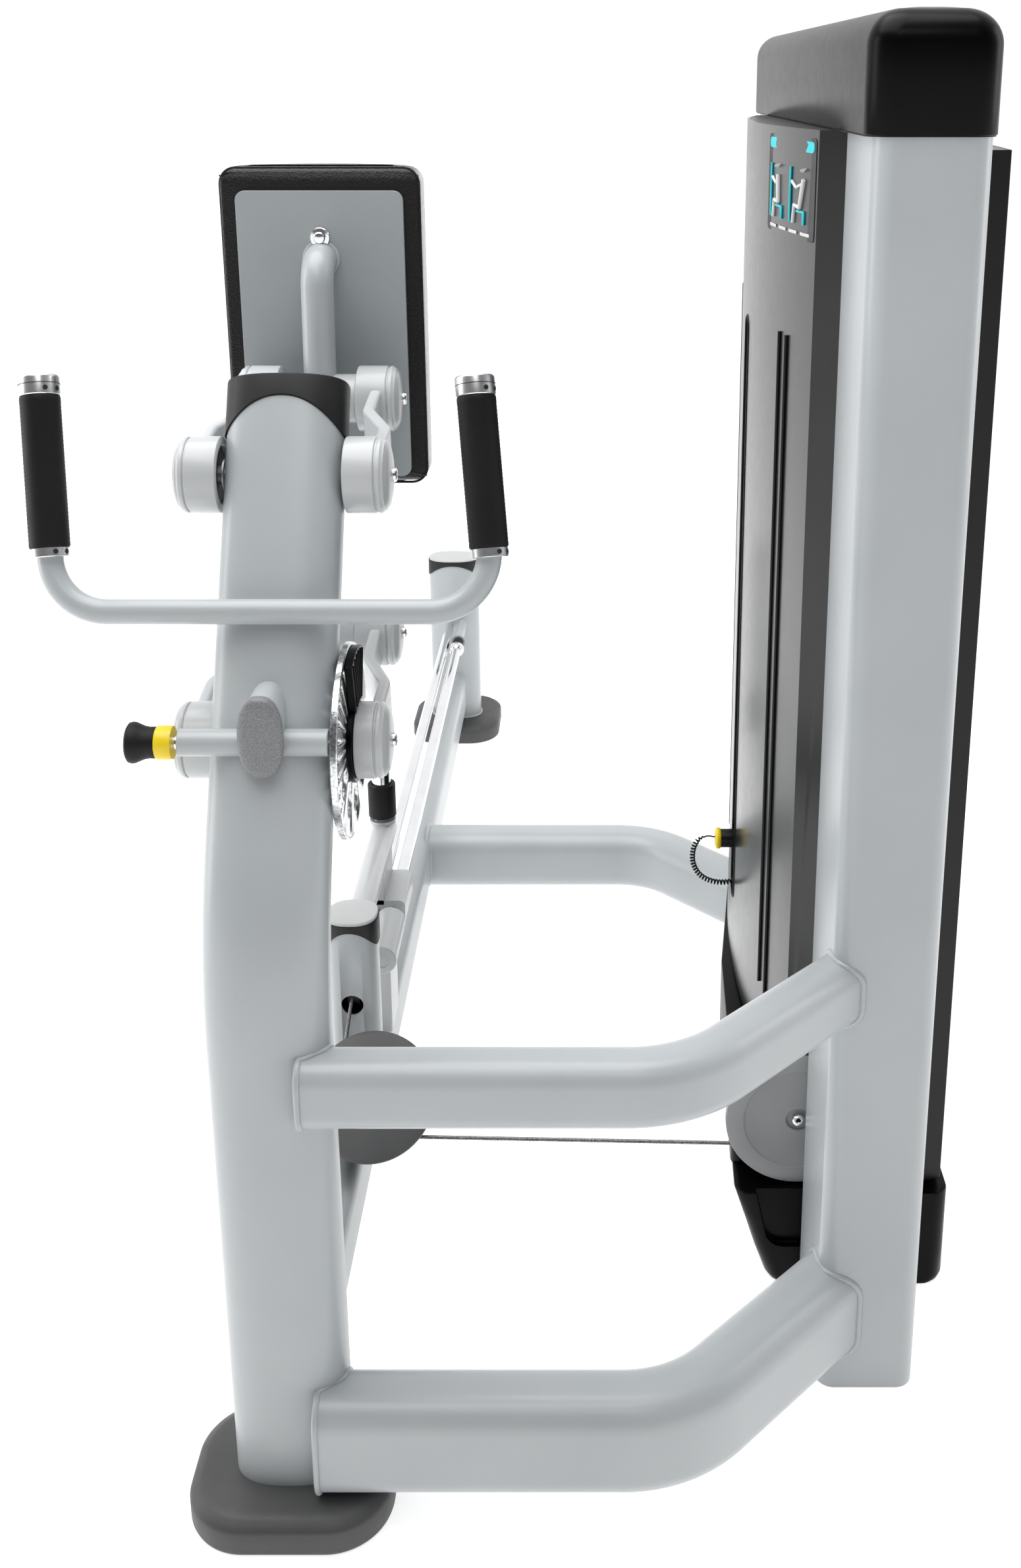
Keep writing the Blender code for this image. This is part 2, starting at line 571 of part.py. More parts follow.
def disc_hub():
    face = DISC_FACES[1] + GAP
    inner = SHAFT_RADIUS + SHAFT_CLEARANCE
    profile = [(inner, face), (0.046, face), (0.046, 0.0792), (inner, 0.0792)]
    hub = turned("disc_hub", profile, LOWER_PIVOT, X_AXIS, GLOSS_BLACK, 24, closed=True)
    outline = []
    for radius, angles in ((0.044, (118, 100, 80, 62)), (0.103, (66, 80, 96, 112))):
        for angle in angles:
            outline.append((LOWER_PIVOT.y + radius * cos(radians(angle)), LOWER_PIVOT.z + radius * sin(radians(angle))))
    wedge = prism("hub_wedge", outline, "X", FRAME_X + face, FRAME_X + 0.0860, GLOSS_BLACK)
    tool = rod("hub_wedge_round", LOWER_PIVOT, LOWER_PIVOT + X_AXIS * 0.2, BOSS_RADIUS + 0.0012, GLOSS_BLACK, 28)
    cut(wedge, tool)
    join(hub, wedge)


def pad_carrier():
    """The casting that joins the four far bosses and carries the pad's tube."""
    top, bottom = UPPER_PIVOT + LINK, LOWER_PIVOT + LINK
    bar = solid("pad_upright", [bottom, top], X_AXIS, rounded_rect(0.044, 0.046, 0.010), PAINT, top)
    corners = [top - Z_AXIS * 0.004, Vector((FRAME_X, -0.604, 1.318)), Vector((FRAME_X, PAD_PLATE_Y - 0.0033, 1.318))]
    tube = solid("pad_tube", rounded_path(corners, 0.034, 6), X_AXIS, circle(PAD_TUBE_RADIUS), PAINT)
    join(bar, tube)
    for label, pivot in (("upper", top), ("lower", bottom)):
        hub, shaft = X_AXIS * 0.0460, X_AXIS * 0.0965
        join(bar, rod(label + "_hub", pivot - hub, pivot + hub, 0.030, PAINT, 24))
        join(bar, rod(label + "_trunnion", pivot - shaft, pivot + shaft, SHAFT_RADIUS, PAINT))
    width, height, thickness = PAD_PLATE
    outline = shifted(rounded_rect(width, height, 0.012), FRAME_X, PAD_PLATE_LOW_Z + height / 2)
    front, back = PAD_PLATE_Y - thickness / 2, PAD_PLATE_Y + thickness / 2
    prism("pad_plate", outline, "Y", front, back, PAINT, top)
    pad(back + 0.0010, top)


def pad_outline(inset, steps=10):
    """The cushion in plan: a flat front and a crowned back."""
    half = PAD_WIDTH / 2 - inset
    points = [(-half, 0.006 + inset), (-half + 0.006, inset), (half - 0.006, inset), (half, 0.006 + inset)]
    for i in range(steps + 1):
        t = 1 - 2 * i / steps
        points.append((t * half * 0.985, PAD_EDGE - inset + (PAD_CROWN - PAD_EDGE) * (1 - t * t)))
    return points


def pad(face_y, origin):
    """A plain cushion with its crown behind."""
    low, high = PAD_Z
    rings = []
    for z, inset in ((low, 0.014), (low + 0.006, 0.005), (low + 0.016, 0), (high - 0.016, 0), (high - 0.006, 0.005), (high, 0.014)):
        rings.append([Vector((FRAME_X + a, face_y + b, z)) for a, b in pad_outline(inset)])
    place("pad", skin(rings), LEATHER, origin)


def build_arm():
    for level, pivot in (("upper", UPPER_PIVOT), ("lower", LOWER_PIVOT)):
        for label, side in (("left", -1), ("right", 1)):
            by_disc = level == "lower" and side > 0
            inner = DISC_SIDE_BOSS_INNER if by_disc else BOSS_INNER
            link("link_%s_%s" % (level, label), pivot, side, inner, not by_disc)
    pivot_shafts()
    index_disc()
    disc_hub()
    pad_carrier()
    pull_pin()


# Guide rods and carriage


def rod_positions():
    return (("left", FRONT_POST_X - ROD_HALF_SPREAD), ("right", FRONT_POST_X + ROD_HALF_SPREAD))


def guide_rods(rear_post_tool):
    left_x, right_x = (x for _, x in rod_positions())
    left_start = FRONT_POST_Y + FRONT_POST[1] / 2
    left = rod("guide_rod_left", (left_x, left_start - 0.001, ROD_Z), (left_x, REAR_POST_Y - 0.02, ROD_Z), ROD_RADIUS, CHROME)
    post_path = [Vector((FRONT_POST_X, FRONT_POST_Y, z)) for z in (0.1, 0.45)]
    front_tool = solid("front_post_tool", post_path, X_AXIS, oval(FRONT_POST[0] + 2 * GAP, FRONT_POST[1] + 2 * GAP), PAINT)
    cut(left, rear_post_tool, front_tool)
    ball = [(ROD_RADIUS, 0), (ROD_RADIUS, 1.272), (0.0150, 1.276), (0.0168, 1.286), (0.0150, 1.296), (0.0110, 1.302)]
    turned("guide_rod_right", ball, (right_x, -0.433, ROD_Z), Y_AXIS, CHROME, 16)
    ring_start = -0.433 + 1.302 + GAP
    rod("rod_bumper", (right_x, ring_start, ROD_Z), (right_x, 0.901 - GAP, ROD_Z), 0.0125, RUBBER, 20)
    boss_start, boss_end = -0.463, -0.345
    boss = rod("rod_boss", (right_x, boss_start, ROD_Z), (right_x, boss_end, ROD_Z), 0.0225, PAINT, 24)
    pedestal = box("boss_pedestal", (right_x - 0.014, boss_start + 0.02, RAIL_TOP_Z + GAP), (right_x + 0.010, boss_end - 0.02, ROD_Z - 0.014))
    join(boss, pedestal)
    seat = rod("boss_seat", (right_x, -0.4335, ROD_Z), (right_x, 0, ROD_Z), ROD_RADIUS + GAP, PAINT)
    pass_by = rod("boss_relief", (left_x, -0.6, ROD_Z), (left_x, 0, ROD_Z), ROD_RADIUS + 0.001, PAINT)
    cut(boss, seat, pass_by)


def carriage():
    origin = (FRONT_POST_X, CARRIAGE_POST_Y, ROD_Z)
    tube_x = -0.2705
    tube = rod("carriage_frame", (tube_x, -0.545, CARRIAGE_TUBE_Z), (tube_x, -0.228, CARRIAGE_TUBE_Z),
               CARRIAGE_TUBE_RADIUS, PAINT, 20, origin=origin)
    front, rear = CARRIAGE_FRONT_Y, CARRIAGE_REAR_Y
    block = prism("carriage_block", shifted(rounded_rect(0.068, 0.044, 0.010), FRONT_POST_X, ROD_Z), "Y", front, rear, PAINT)
    web = box("carriage_web", (FRONT_POST_X - 0.015, front, 0.295), (FRONT_POST_X + 0.003, rear, 0.385))
    join(tube, web, block)
    for label, x in rod_positions():
        bore = rod("carriage_bore_" + label, (x, front - 0.1, ROD_Z), (x, rear + 0.1, ROD_Z), ROD_RADIUS + ROD_BORE_CLEARANCE, PAINT)
        cut(tube, bore)
    post_low = CARRIAGE_TUBE_Z
    cut(tube, rod("post_socket", (tube_x, CARRIAGE_POST_Y, post_low - GAP), (tube_x, CARRIAGE_POST_Y, 0.6),
                  CARRIAGE_POST_RADIUS + GAP, CHROME))
    rod("carriage_post", (tube_x, CARRIAGE_POST_Y, post_low), (tube_x, CARRIAGE_POST_Y, CARRIAGE_POST_TOP_Z),
        CARRIAGE_POST_RADIUS, CHROME, origin=origin)
    inner = CARRIAGE_POST_RADIUS + GAP
    profile = [(inner, 0), (0.0206, 0), (0.0216, 0.001), (0.0216, 0.0533), (0.0206, 0.0545), (inner, 0.0545)]
    turned("post_sleeve", profile, (tube_x, CARRIAGE_POST_Y, 0.412), Z_AXIS, RUBBER, 16, closed=True, origin=origin)


# Weight tower


def crowned_outline(wall, edge, middle, half, round_steps=10):
    """A D in plan: from a straight inner side at wall to a side that swells from edge to middle."""
    y0, y1 = TOWER_Y - half, TOWER_Y + half
    points = [(wall, y0)]
    for i in range(round_steps + 1):
        t = i / round_steps
        points.append((edge + (middle - edge) * (1 - (2 * t - 1) ** 2), y0 + (y1 - y0) * (0.02 + 0.96 * t)))
    points.append((wall, y1))
    return points


def shrouds():
    left_x, right_x = TOWER_X - UPRIGHT[0] / 2 - 0.001, TOWER_X + UPRIGHT[0] / 2 + 0.001
    half = BAY_HALF - 0.0015
    outline = crowned_outline(left_x + 0.012, 0.309, 0.270, half)
    front = prism("front_shroud", outline, "Z", FRONT_SHROUD_BASE_Z, UPRIGHT_HEIGHT - 0.0007, SATIN_BLACK)
    hollow_out = crowned_outline(left_x + 0.05, 0.3125, 0.2735, half - 0.0035)
    cut(front, prism("front_shroud_tool", hollow_out, "Z", 0, UPRIGHT_HEIGHT - 0.004, SATIN_BLACK))
    start = TOWER_SHEAVE_CENTRE - Y_AXIS * 0.1
    cut(front, rod("cover_clearance", start, TOWER_SHEAVE_CENTRE - Y_AXIS * 0.0095, 0.0975, SATIN_BLACK, 28),
        rod("sheave_clearance", start, TOWER_SHEAVE_CENTRE + Y_AXIS * 0.0095, 0.0600, SATIN_BLACK, 28))
    cut(front, box("pin_slot", (0.2, TOWER_Y - SLOT_HALF, SLOT_LOW_Z), (0.36, TOWER_Y + SLOT_HALF, SLOT_HIGH_Z)))
    half = BAY_HALF + 0.009
    outline = crowned_outline(right_x, 0.510, 0.534, half)
    rear = prism("rear_shroud", outline, "Z", REAR_SHROUD_BASE_Z, 1.457, SATIN_BLACK)
    hollow_out = crowned_outline(right_x - 0.05, 0.5065, 0.5305, half - 0.0035)
    cut(rear, prism("rear_shroud_tool", hollow_out, "Z", 0, 1.4535, SATIN_BLACK))


def plan_ring(x0, x1, y0, y1, radius, z, steps=3):
    section = rounded_rect(x1 - x0, y1 - y0, radius, steps)
    return [Vector(((x0 + x1) / 2 + a, (y0 + y1) / 2 + b, z)) for a, b in section]


def cap_ring(y0, y1, inset, wall, z):
    corner = max(CAP_CORNER - inset * 0.7 - wall, 0.004)
    inset += wall
    return plan_ring(CAP_X[0] + inset, CAP_X[1] - inset, y0 + inset, y1 - inset, corner, z)


def tower_cap():
    y0 = TOWER_Y - UPRIGHT_SPREAD - UPRIGHT[1] / 2 - 0.004
    y1 = TOWER_Y + UPRIGHT_SPREAD + UPRIGHT[1] / 2 + 0.004
    base = UPRIGHT_HEIGHT + GAP
    outer, inner = [cap_ring(y0, y1, 0, 0, base)], [cap_ring(y0, y1, 0, CAP_WALL, base - 0.01)]
    for i in range(5):
        angle = i * pi / 8
        inset = CAP_ROUND * (1 - cos(angle))
        z = CAP_TOP_Z - CAP_ROUND + CAP_ROUND * sin(angle)
        outer.append(cap_ring(y0, y1, inset, 0, z))
        inner.append(cap_ring(y0, y1, inset, CAP_WALL, z - CAP_WALL))
    cap = place("tower_cap", skin(outer), GLOSS_BLACK)
    cut(cap, place("tower_cap_tool", skin(inner), GLOSS_BLACK))


def base_ring(left, right, half, radius, z):
    """A plan outline whose left side draws in towards the far end."""
    y0, y1 = TOWER_Y - half, TOWER_Y + half
    start = Vector(((left + right) / 2, y0, z))
    corners = [start, (right, y0, z), (right, y1, z), (left + 0.050, y1, z), (left + 0.010, TOWER_Y, z), (left, y0, z), start]
    return rounded_path(corners, radius, 3)[:-1]


def tower_base():
    """A plinth round the uprights' feet with a raised tray that holds the stack."""
    shape = ((0, 0.296, 0.520), (0.010, 0.289, 0.525), (0.090, 0.262, 0.525), (PLINTH_TOP_Z, 0.246, 0.525))
    base = place("tower_base", skin([base_ring(x0, x1, PLINTH_HALF, 0.022, z) for z, x0, x1 in shape]), GLOSS_BLACK)
    tray = place("base_tray", skin([base_ring(0.246, 0.4525, BASE_HALF, 0.022, z) for z in (0.05, BASE_TOP_Z)]), GLOSS_BLACK)
    join(base, tray)
    y0, y1 = TOWER_Y - BASE_HALF, TOWER_Y + BASE_HALF
    well = box("base_well", (0.306, y0 + 0.020, BASE_FLOOR_Z), (0.4455, y1 - 0.020, 1.0))
    recess = [(0.272, 0.150), (0.287, 0.080), (0.294, 0.066), (0.308, 0.058), (0.440, 0.058), (0.440, 0.150)]
    front = TOWER_Y - PLINTH_HALF
    cut(base, well, prism("base_recess", recess, "Y", front - 0.1, front + 0.010, GLOSS_BLACK))
    cut(base, bpy.data.objects["near_tool"], bpy.data.objects["far_tool"])


def plate_tools(prefix):
    """Cutters for the guide rods and the selector stem."""
    tools = []
    for label, dy, radius in (("near", -STACK_ROD_SPREAD, STACK_ROD_RADIUS), ("far", STACK_ROD_SPREAD, STACK_ROD_RADIUS),
                              ("stem", 0, STEM_RADIUS)):
        low, high = (STACK_X, TOWER_Y + dy, 0), (STACK_X, TOWER_Y + dy, 1.4)
        tools.append(rod(prefix + label, low, high, radius + 0.0013, STEEL, 10))
    return tools


def plate_ring(z, inset):
    width, length = PLATE_SIZE
    return plan_ring(STACK_X - width / 2 + inset, STACK_X + width / 2 - inset, TOWER_Y - length / 2 + inset,
                     TOWER_Y + length / 2 - inset, 0.008, z, 2)


def weight_stack():
    tools = plate_tools("plate_tool_")
    rings = []
    for i in range(RESTING_PLATES):
        low = STACK_LOW_Z + i * PLATE_PITCH
        high = low + PLATE_THICKNESS - (0 if i + 1 < RESTING_PLATES else GAP)
        rings += [plate_ring(low, 0.0), plate_ring(high, 0.0)]
        if i + 1 < RESTING_PLATES:
            rings += [plate_ring(high, 0.003), plate_ring(low + PLATE_PITCH, 0.003)]
    cut(place("resting_plates", skin(rings), PLATE_PAINT), *tools)
    low = STACK_LOW_Z + RESTING_PLATES * PLATE_PITCH
    high = low + PLATE_THICKNESS
    origin = (STACK_X, TOWER_Y, low)
    selected = place("selected_plate", skin([plate_ring(low, 0), plate_ring(high, 0)]), PLATE_PAINT, origin)
    pin_z = (low + high) / 2
    pin_bore = rod("selector_bore", (0.2, TOWER_Y, pin_z), (STACK_X + 0.012, TOWER_Y, pin_z), PIN_RADIUS + 0.0008, STEEL, 12)
    cut(selected, *tools, pin_bore)
    head_plate(high + GAP, origin, tools, pin_bore)
    selector(pin_z)
    for label, dy in (("near", -STACK_ROD_SPREAD), ("far", STACK_ROD_SPREAD)):
        rod("stack_rod_" + label, (STACK_X, TOWER_Y + dy, STACK_LOW_Z), (STACK_X, TOWER_Y + dy, BEAM_Z[0] - GAP),
            STACK_ROD_RADIUS, CHROME, 12)


def head_plate(low, origin, tools, pin_bore):
    """The top plate with the selector stem below it and the floating sheave's yoke above it."""
    high = low + HEAD_THICKNESS
    plate = place("head_plate", skin([plate_ring(low, 0), plate_ring(high, 0)]), PLATE_PAINT, origin)
    cut(plate, *tools[:2])
    stem = rod("stem", (STACK_X, TOWER_Y, STACK_LOW_Z + 0.01), (STACK_X, TOWER_Y, high - 0.005), STEM_RADIUS, STEEL, 14)
    join(plate, stem)
    for label, side in (("left", -1), ("right", 1)):
        x = STACK_X + side * 0.0125
        cheek = box("yoke_" + label, (x - 0.002, TOWER_Y - 0.018, high - 0.004), (x + 0.002, TOWER_Y + 0.018, FLOAT_SHEAVE_Z + 0.014))
        join(plate, cheek)
    half = X_AXIS * 0.0142
    centre = Vector((STACK_X, TOWER_Y, FLOAT_SHEAVE_Z))
    join(plate, rod("float_axle", centre - half, centre + half, 0.006, STEEL, 12))
    cut(plate, pin_bore)


def selector(pin_z):
    """The weight pin with its handle outside the slot, and its lanyard's outer shape."""
    outer_x = 0.2425
    profile = [(0.0120, 0), (0.0158, 0.0015), (0.0158, 0.006), (0.0137, 0.009), (0.0137, 0.0600), (PIN_RADIUS, 0.0612),
               (PIN_RADIUS, STACK_X + 0.010 - outer_x)]
    start = Vector((outer_x, TOWER_Y, pin_z))
    turned("selector_pin", profile, start, X_AXIS, SATIN_BLACK, 16)
    route = ((0.2414, 0, 0.0020), (0.2300, 0, 0.0030), (0.2170, -0.001, -0.0030), (0.2100, -0.001, -0.0200),
             (0.2110, -0.001, -0.0420), (0.2220, 0, -0.0610), (0.2410, 0.002, -0.0720), (0.2620, 0.004, -0.0740),
             (0.2820, 0.007, -0.0690), (0.2980, 0.010, -0.0570), (0.3095, 0.0115, -0.0380), (0.3140, 0.0115, -0.0180),
             (0.3145, 0.0115, 0.0050), (0.3155, 0.0115, 0.0230), (0.3185, 0.0115, 0.0290), (0.3242, 0.0115, 0.0300))
    points = [start + Vector((x - outer_x, dy, dz)) for x, dy, dz in route]
    wire("lanyard", points, 0.0045, RUBBER, 1)


def spline(points, per_span):
    """A Catmull-Rom curve through the points."""
    result = []
    padded = [points[0] * 2 - points[1]] + list(points) + [points[-1] * 2 - points[-2]]
    for a, b, c, d in zip(padded, padded[1:], padded[2:], padded[3:]):
        for i in range(per_span):
            t = i / per_span
            result.append(0.5 * (2 * b + (c - a) * t + (2 * a - 5 * b + 4 * c - d) * t ** 2
                                 + (3 * b - a - 3 * c + d) * t ** 3))
    return result + [points[-1]]


def wire(name, points, radius, finish, resolution=2):
    curve = bpy.data.curves.new(name, "CURVE")
    curve.dimensions = "3D"
    curve.bevel_depth = radius
    curve.bevel_resolution = resolution
    curve.use_fill_caps = True
    line = curve.splines.new("POLY")
    line.points.add(len(points) - 1)
    for target, point in zip(line.points, points):
        target.co = (*point, 1)
    curve.materials.append(material(finish))
    obj = bpy.data.objects.new(name, curve)
    bpy.context.scene.collection.objects.link(obj)
    return obj


# Cable and sheaves


def tilted_up():
    """The direction up the slope of the redirect sheave's plane."""
    return Vector((0, sin(REDIRECT_TILT), cos(REDIRECT_TILT)))


def redirect_axis():
    return Vector((0, -cos(REDIRECT_TILT), sin(REDIRECT_TILT)))


def top_sheave_centres():
    return [Vector((STACK_X, y, TOP_SHEAVE_Z)) for y in (TOP_NEAR_Y, TOP_FAR_Y)]


def cable_route():
    """From the carriage through the front post, under the redirect and tower sheaves, and over the top pair."""
    near, far = top_sheave_centres()
    route = [Vector((FRONT_POST_X, CARRIAGE_FRONT_Y - GAP, CABLE_LEVEL_Z)), Vector((FRONT_POST_X, -0.50, CABLE_LEVEL_Z))]
    route += arc(ROLLER_CENTRE, -Y_AXIS, Z_AXIS, ROLLER_PATH, 90, 45, 15)
    route += arc(REDIRECT_CENTRE, X_AXIS, tilted_up(), REDIRECT_PATH, 180, 270)
    route += arc(TOWER_SHEAVE_CENTRE, X_AXIS, Z_AXIS, TOWER_SHEAVE_PATH, 270, 360)
    route += arc(near, Y_AXIS, Z_AXIS, TOP_SHEAVE_PATH, 180, 90)
    route += arc(far, Y_AXIS, Z_AXIS, TOP_SHEAVE_PATH, 90, 0)
    route.append(Vector((STACK_X, TOP_FAR_Y + TOP_SHEAVE_PATH, BEAM_Z[0])))
    return route


def lift_route():
    """From under the beam, round the floating sheave and back up to the beam."""
    centre = Vector((STACK_X, TOWER_Y, FLOAT_SHEAVE_Z))
    ends = [Vector((STACK_X, TOWER_Y + side * FLOAT_SHEAVE_PATH, BEAM_Z[0] - GAP)) for side in (-1, 1)]
    return [ends[0]] + arc(centre, Y_AXIS, Z_AXIS, FLOAT_SHEAVE_PATH, 180, 360) + [ends[1]]


def sheave(name, centre, axis, path_radius, bore, half_width=0.006):
    rim, root = path_radius + 0.004, path_radius - CABLE_RADIUS - 0.0007
    profile = [(bore, -half_width), (rim, -half_width), (root, -0.0034), (root, 0.0034), (rim, half_width),
               (bore, half_width)]
    turned(name, profile, centre, axis, SATIN_BLACK, 18, closed=True)


def redirect_cover():
    """A domed cover with a skirt and a back plate on one axle, on a leg from the rail."""
    axis = redirect_axis()
    dome = [(0.060, 0.0085), (0.0815, 0.0080), (0.0837, 0.0130), (0.0825, 0.0165), (0.072, 0.0215), (0.050, 0.0260),
            (0.025, 0.0285), (0.008, 0.0292)]
    cover = turned("redirect_cover", dome, REDIRECT_CENTRE, axis, SATIN_BLACK, 24)
    skirt = []
    for i in range(12):
        angle = radians(190 + 10 * i)
        out = X_AXIS * cos(angle) + tilted_up() * sin(angle)
        skirt.append([REDIRECT_CENTRE + out * r + axis * h for r, h in
                      ((0.0720, -0.0120), (0.0780, -0.0120), (0.0800, 0.0100), (0.0740, 0.0100))])
    axle = rod("redirect_axle", REDIRECT_CENTRE - axis * 0.0150, REDIRECT_CENTRE + axis * 0.0120, 0.0080, SATIN_BLACK, 12)
    back = turned("redirect_back", [(0.034, -0.0170), (0.034, -0.0100)], REDIRECT_CENTRE, axis, SATIN_BLACK, 20)
    slope = REDIRECT_CENTRE - axis * 0.0140
    leg_outline = [(y, RAIL_TOP_Z + GAP) for y in (-0.725, -0.690)]
    leg_outline += [(y, slope.z + y - slope.y) for y in (-0.690, -0.725)]
    leg = prism("redirect_leg", leg_outline, "X", -0.284, -0.215, SATIN_BLACK)
    join(cover, place("redirect_skirt", skin(skirt), SATIN_BLACK), axle, back, leg)


def tower_pulley_cover():
    front = -0.7715
    depth = [(0.0700, 0.0015), (0.0735, 0), (0.0925, 0), (0.0940, 0.0015), (0.0940, 0.0090), (0.0300, 0.0090)]
    centre = Vector((TOWER_SHEAVE_CENTRE.x, front, TOWER_SHEAVE_CENTRE.z))
    cover = turned("tower_pulley_cover", depth, centre, Y_AXIS, COVER_GREY, 28)
    axle = rod("tower_axle", centre + Y_AXIS * 0.005, (centre.x, TOWER_Y - BASE_HALF - GAP, centre.z), 0.0080, COVER_GREY, 12)
    recess = rod("screw_recess", centre - Y_AXIS * 0.01, centre + Y_AXIS * 0.0045, 0.0155, COVER_GREY, 20)
    join(cover, axle)
    cut(cover, recess)


def top_bracket():
    """The beam between the uprights and the cheeks that hold the top sheaves."""
    reach = BAY_HALF - GAP
    beam = box("top_beam", (STACK_X - 0.034, TOWER_Y - reach, BEAM_Z[0]), (STACK_X + 0.034, TOWER_Y + reach, BEAM_Z[1]), STEEL)
    for label, side in (("left", -1), ("right", 1)):
        x = STACK_X + side * 0.0125
        join(beam, box("cheek_" + label, (x - 0.002, -0.736, BEAM_Z[1] - 0.004), (x + 0.002, -0.470, TOP_SHEAVE_Z + 0.012), STEEL))
    for label, centre in zip(("near", "far"), top_sheave_centres()):
        half = X_AXIS * 0.0142
        join(beam, rod("top_axle_" + label, centre - half, centre + half, 0.006, STEEL, 12))
    for label, y in (("near", TOP_NEAR_Y - TOP_SHEAVE_PATH), ("far", TOP_FAR_Y + TOP_SHEAVE_PATH)):
        cut(beam, rod("beam_hole_" + label, (STACK_X, y, 1.3), (STACK_X, y, 1.6), 0.0065, STEEL, 10))


def build_cables():
    wire("drive_cable", cable_route(), CABLE_RADIUS, STEEL, 1)
    wire("lift_cable", lift_route(), CABLE_RADIUS, STEEL, 1)
    sheave("redirect_sheave", REDIRECT_CENTRE, redirect_axis(), REDIRECT_PATH, 0.0084)
    sheave("tower_sheave", TOWER_SHEAVE_CENTRE, Y_AXIS, TOWER_SHEAVE_PATH, 0.0084)
    for label, centre in zip(("near", "far"), top_sheave_centres()):
        sheave("top_sheave_" + label, centre, X_AXIS, TOP_SHEAVE_PATH, 0.0064)
    sheave("float_sheave", Vector((STACK_X, TOWER_Y, FLOAT_SHEAVE_Z)), X_AXIS, FLOAT_SHEAVE_PATH, 0.0064)
    redirect_cover()
    tower_pulley_cover()
    top_bracket()


def build_tower():
    tower_cap()
    shrouds()
    tower_base()
    weight_stack()


def main():
    clear_scene()
    build_frame()
    build_arm()
    guide_rods(bpy.data.objects["rear_post_tool"])
    carriage()
    build_tower()
    build_cables()


main()
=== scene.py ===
"""The looks of a seated cable row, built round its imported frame. Metres, in the frame's own axes."""

import json
from math import copysign, cos, pi, radians, sin, sqrt, tan

import bmesh
import bpy
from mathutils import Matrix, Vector, noise
from mathutils.bvhtree import BVHTree

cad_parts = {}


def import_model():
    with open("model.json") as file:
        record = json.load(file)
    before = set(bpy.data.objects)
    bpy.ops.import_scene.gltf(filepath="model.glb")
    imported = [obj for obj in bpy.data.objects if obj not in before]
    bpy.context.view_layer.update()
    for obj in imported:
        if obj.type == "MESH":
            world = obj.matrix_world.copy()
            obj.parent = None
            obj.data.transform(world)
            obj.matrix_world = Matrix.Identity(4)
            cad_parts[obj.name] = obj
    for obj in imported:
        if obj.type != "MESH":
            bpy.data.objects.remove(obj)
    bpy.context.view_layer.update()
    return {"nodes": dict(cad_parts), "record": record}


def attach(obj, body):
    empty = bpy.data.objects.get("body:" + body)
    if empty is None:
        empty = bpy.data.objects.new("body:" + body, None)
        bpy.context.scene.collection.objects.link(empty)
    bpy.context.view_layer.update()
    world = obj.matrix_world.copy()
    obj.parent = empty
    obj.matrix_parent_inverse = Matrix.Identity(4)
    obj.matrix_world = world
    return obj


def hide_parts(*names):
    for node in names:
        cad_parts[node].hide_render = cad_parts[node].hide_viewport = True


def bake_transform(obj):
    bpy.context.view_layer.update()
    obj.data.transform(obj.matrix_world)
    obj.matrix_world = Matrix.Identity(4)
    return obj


X_AXIS = Vector((1, 0, 0))
Y_AXIS = Vector((0, 1, 0))
Z_AXIS = Vector((0, 0, 1))

WALL = 0.003

# Main column, rail and posts
FRAME_X = -0.271
COLUMN_WIDTH, COLUMN_DEPTH = 0.129, 0.085
COLUMN_Y = -1.097
COLUMN_BASE_Z, COLUMN_KNEE_Z, COLUMN_TOP_Z = 0.012, 0.676, 1.197
COLUMN_LEAN = radians(28.5)
FOOT_HEIGHT = 0.0405
FRONT_FOOT, FRONT_FOOT_Y = (0.226, 0.176), -1.103
REAR_FOOT, REAR_FOOT_Y = (0.206, 0.226), 1.078
RAIL_WIDTH, RAIL_BASE_Z, RAIL_TOP_Z = 0.052, 0.056, 0.152
REAR_POST, REAR_POST_Y, REAR_POST_TOP_Z = (0.116, 0.085), 1.0725, 0.427
FRONT_POST, FRONT_POST_X, FRONT_POST_Y = (0.068, 0.068), -0.264, -0.608
FRONT_POST_TOP_Z = 0.435

# Cross tubes
CROSS_CORNER_X, CROSS_BEND, FRONT_CROSS_Y, FRONT_CROSS_START_X = 0.159, 0.15, -1.126, -0.238
LOWER_CROSS = (0.082, 0.122, 0.103)
MID_CROSS = (0.06, 0.077, 0.5385)
REAR_CROSS = (0.088, 0.108, 0.101)
REAR_CROSS_Y, REAR_CROSS_START_X, REAR_CROSS_CORNER_X = 0.2135, -0.255, 0.17

# Tower
TOWER_X, TOWER_Y = 0.393, -0.407
UPRIGHT, UPRIGHT_HEIGHT, UPRIGHT_SPREAD = (0.1186, 0.188), 1.478, 0.461
BAY_HALF = UPRIGHT_SPREAD - UPRIGHT[1] / 2
CAP_X, CAP_TOP_Z, CAP_ROUND, CAP_CORNER = (0.326, 0.4575), 1.598, 0.035, 0.03
FRONT_SHROUD_BASE_Z, REAR_SHROUD_BASE_Z = 0.26, 0.147
SHROUD_EDGE, SHROUD_MIDDLE, REAR_SHROUD_EDGE, REAR_SHROUD_MIDDLE = 0.309, 0.27, 0.5165, 0.534
SLOT_HALF, SLOT_LOW_Z, SLOT_HIGH_Z = 0.018, 0.36, 1.225
BASE_TOP_Z, BASE_FLOOR_Z, BASE_HALF = 0.25, 0.1152, 0.328
PLINTH_TOP_Z, PLINTH_HALF = 0.14, 0.383
STACK_X = 0.38
PIN_Z = 0.45275

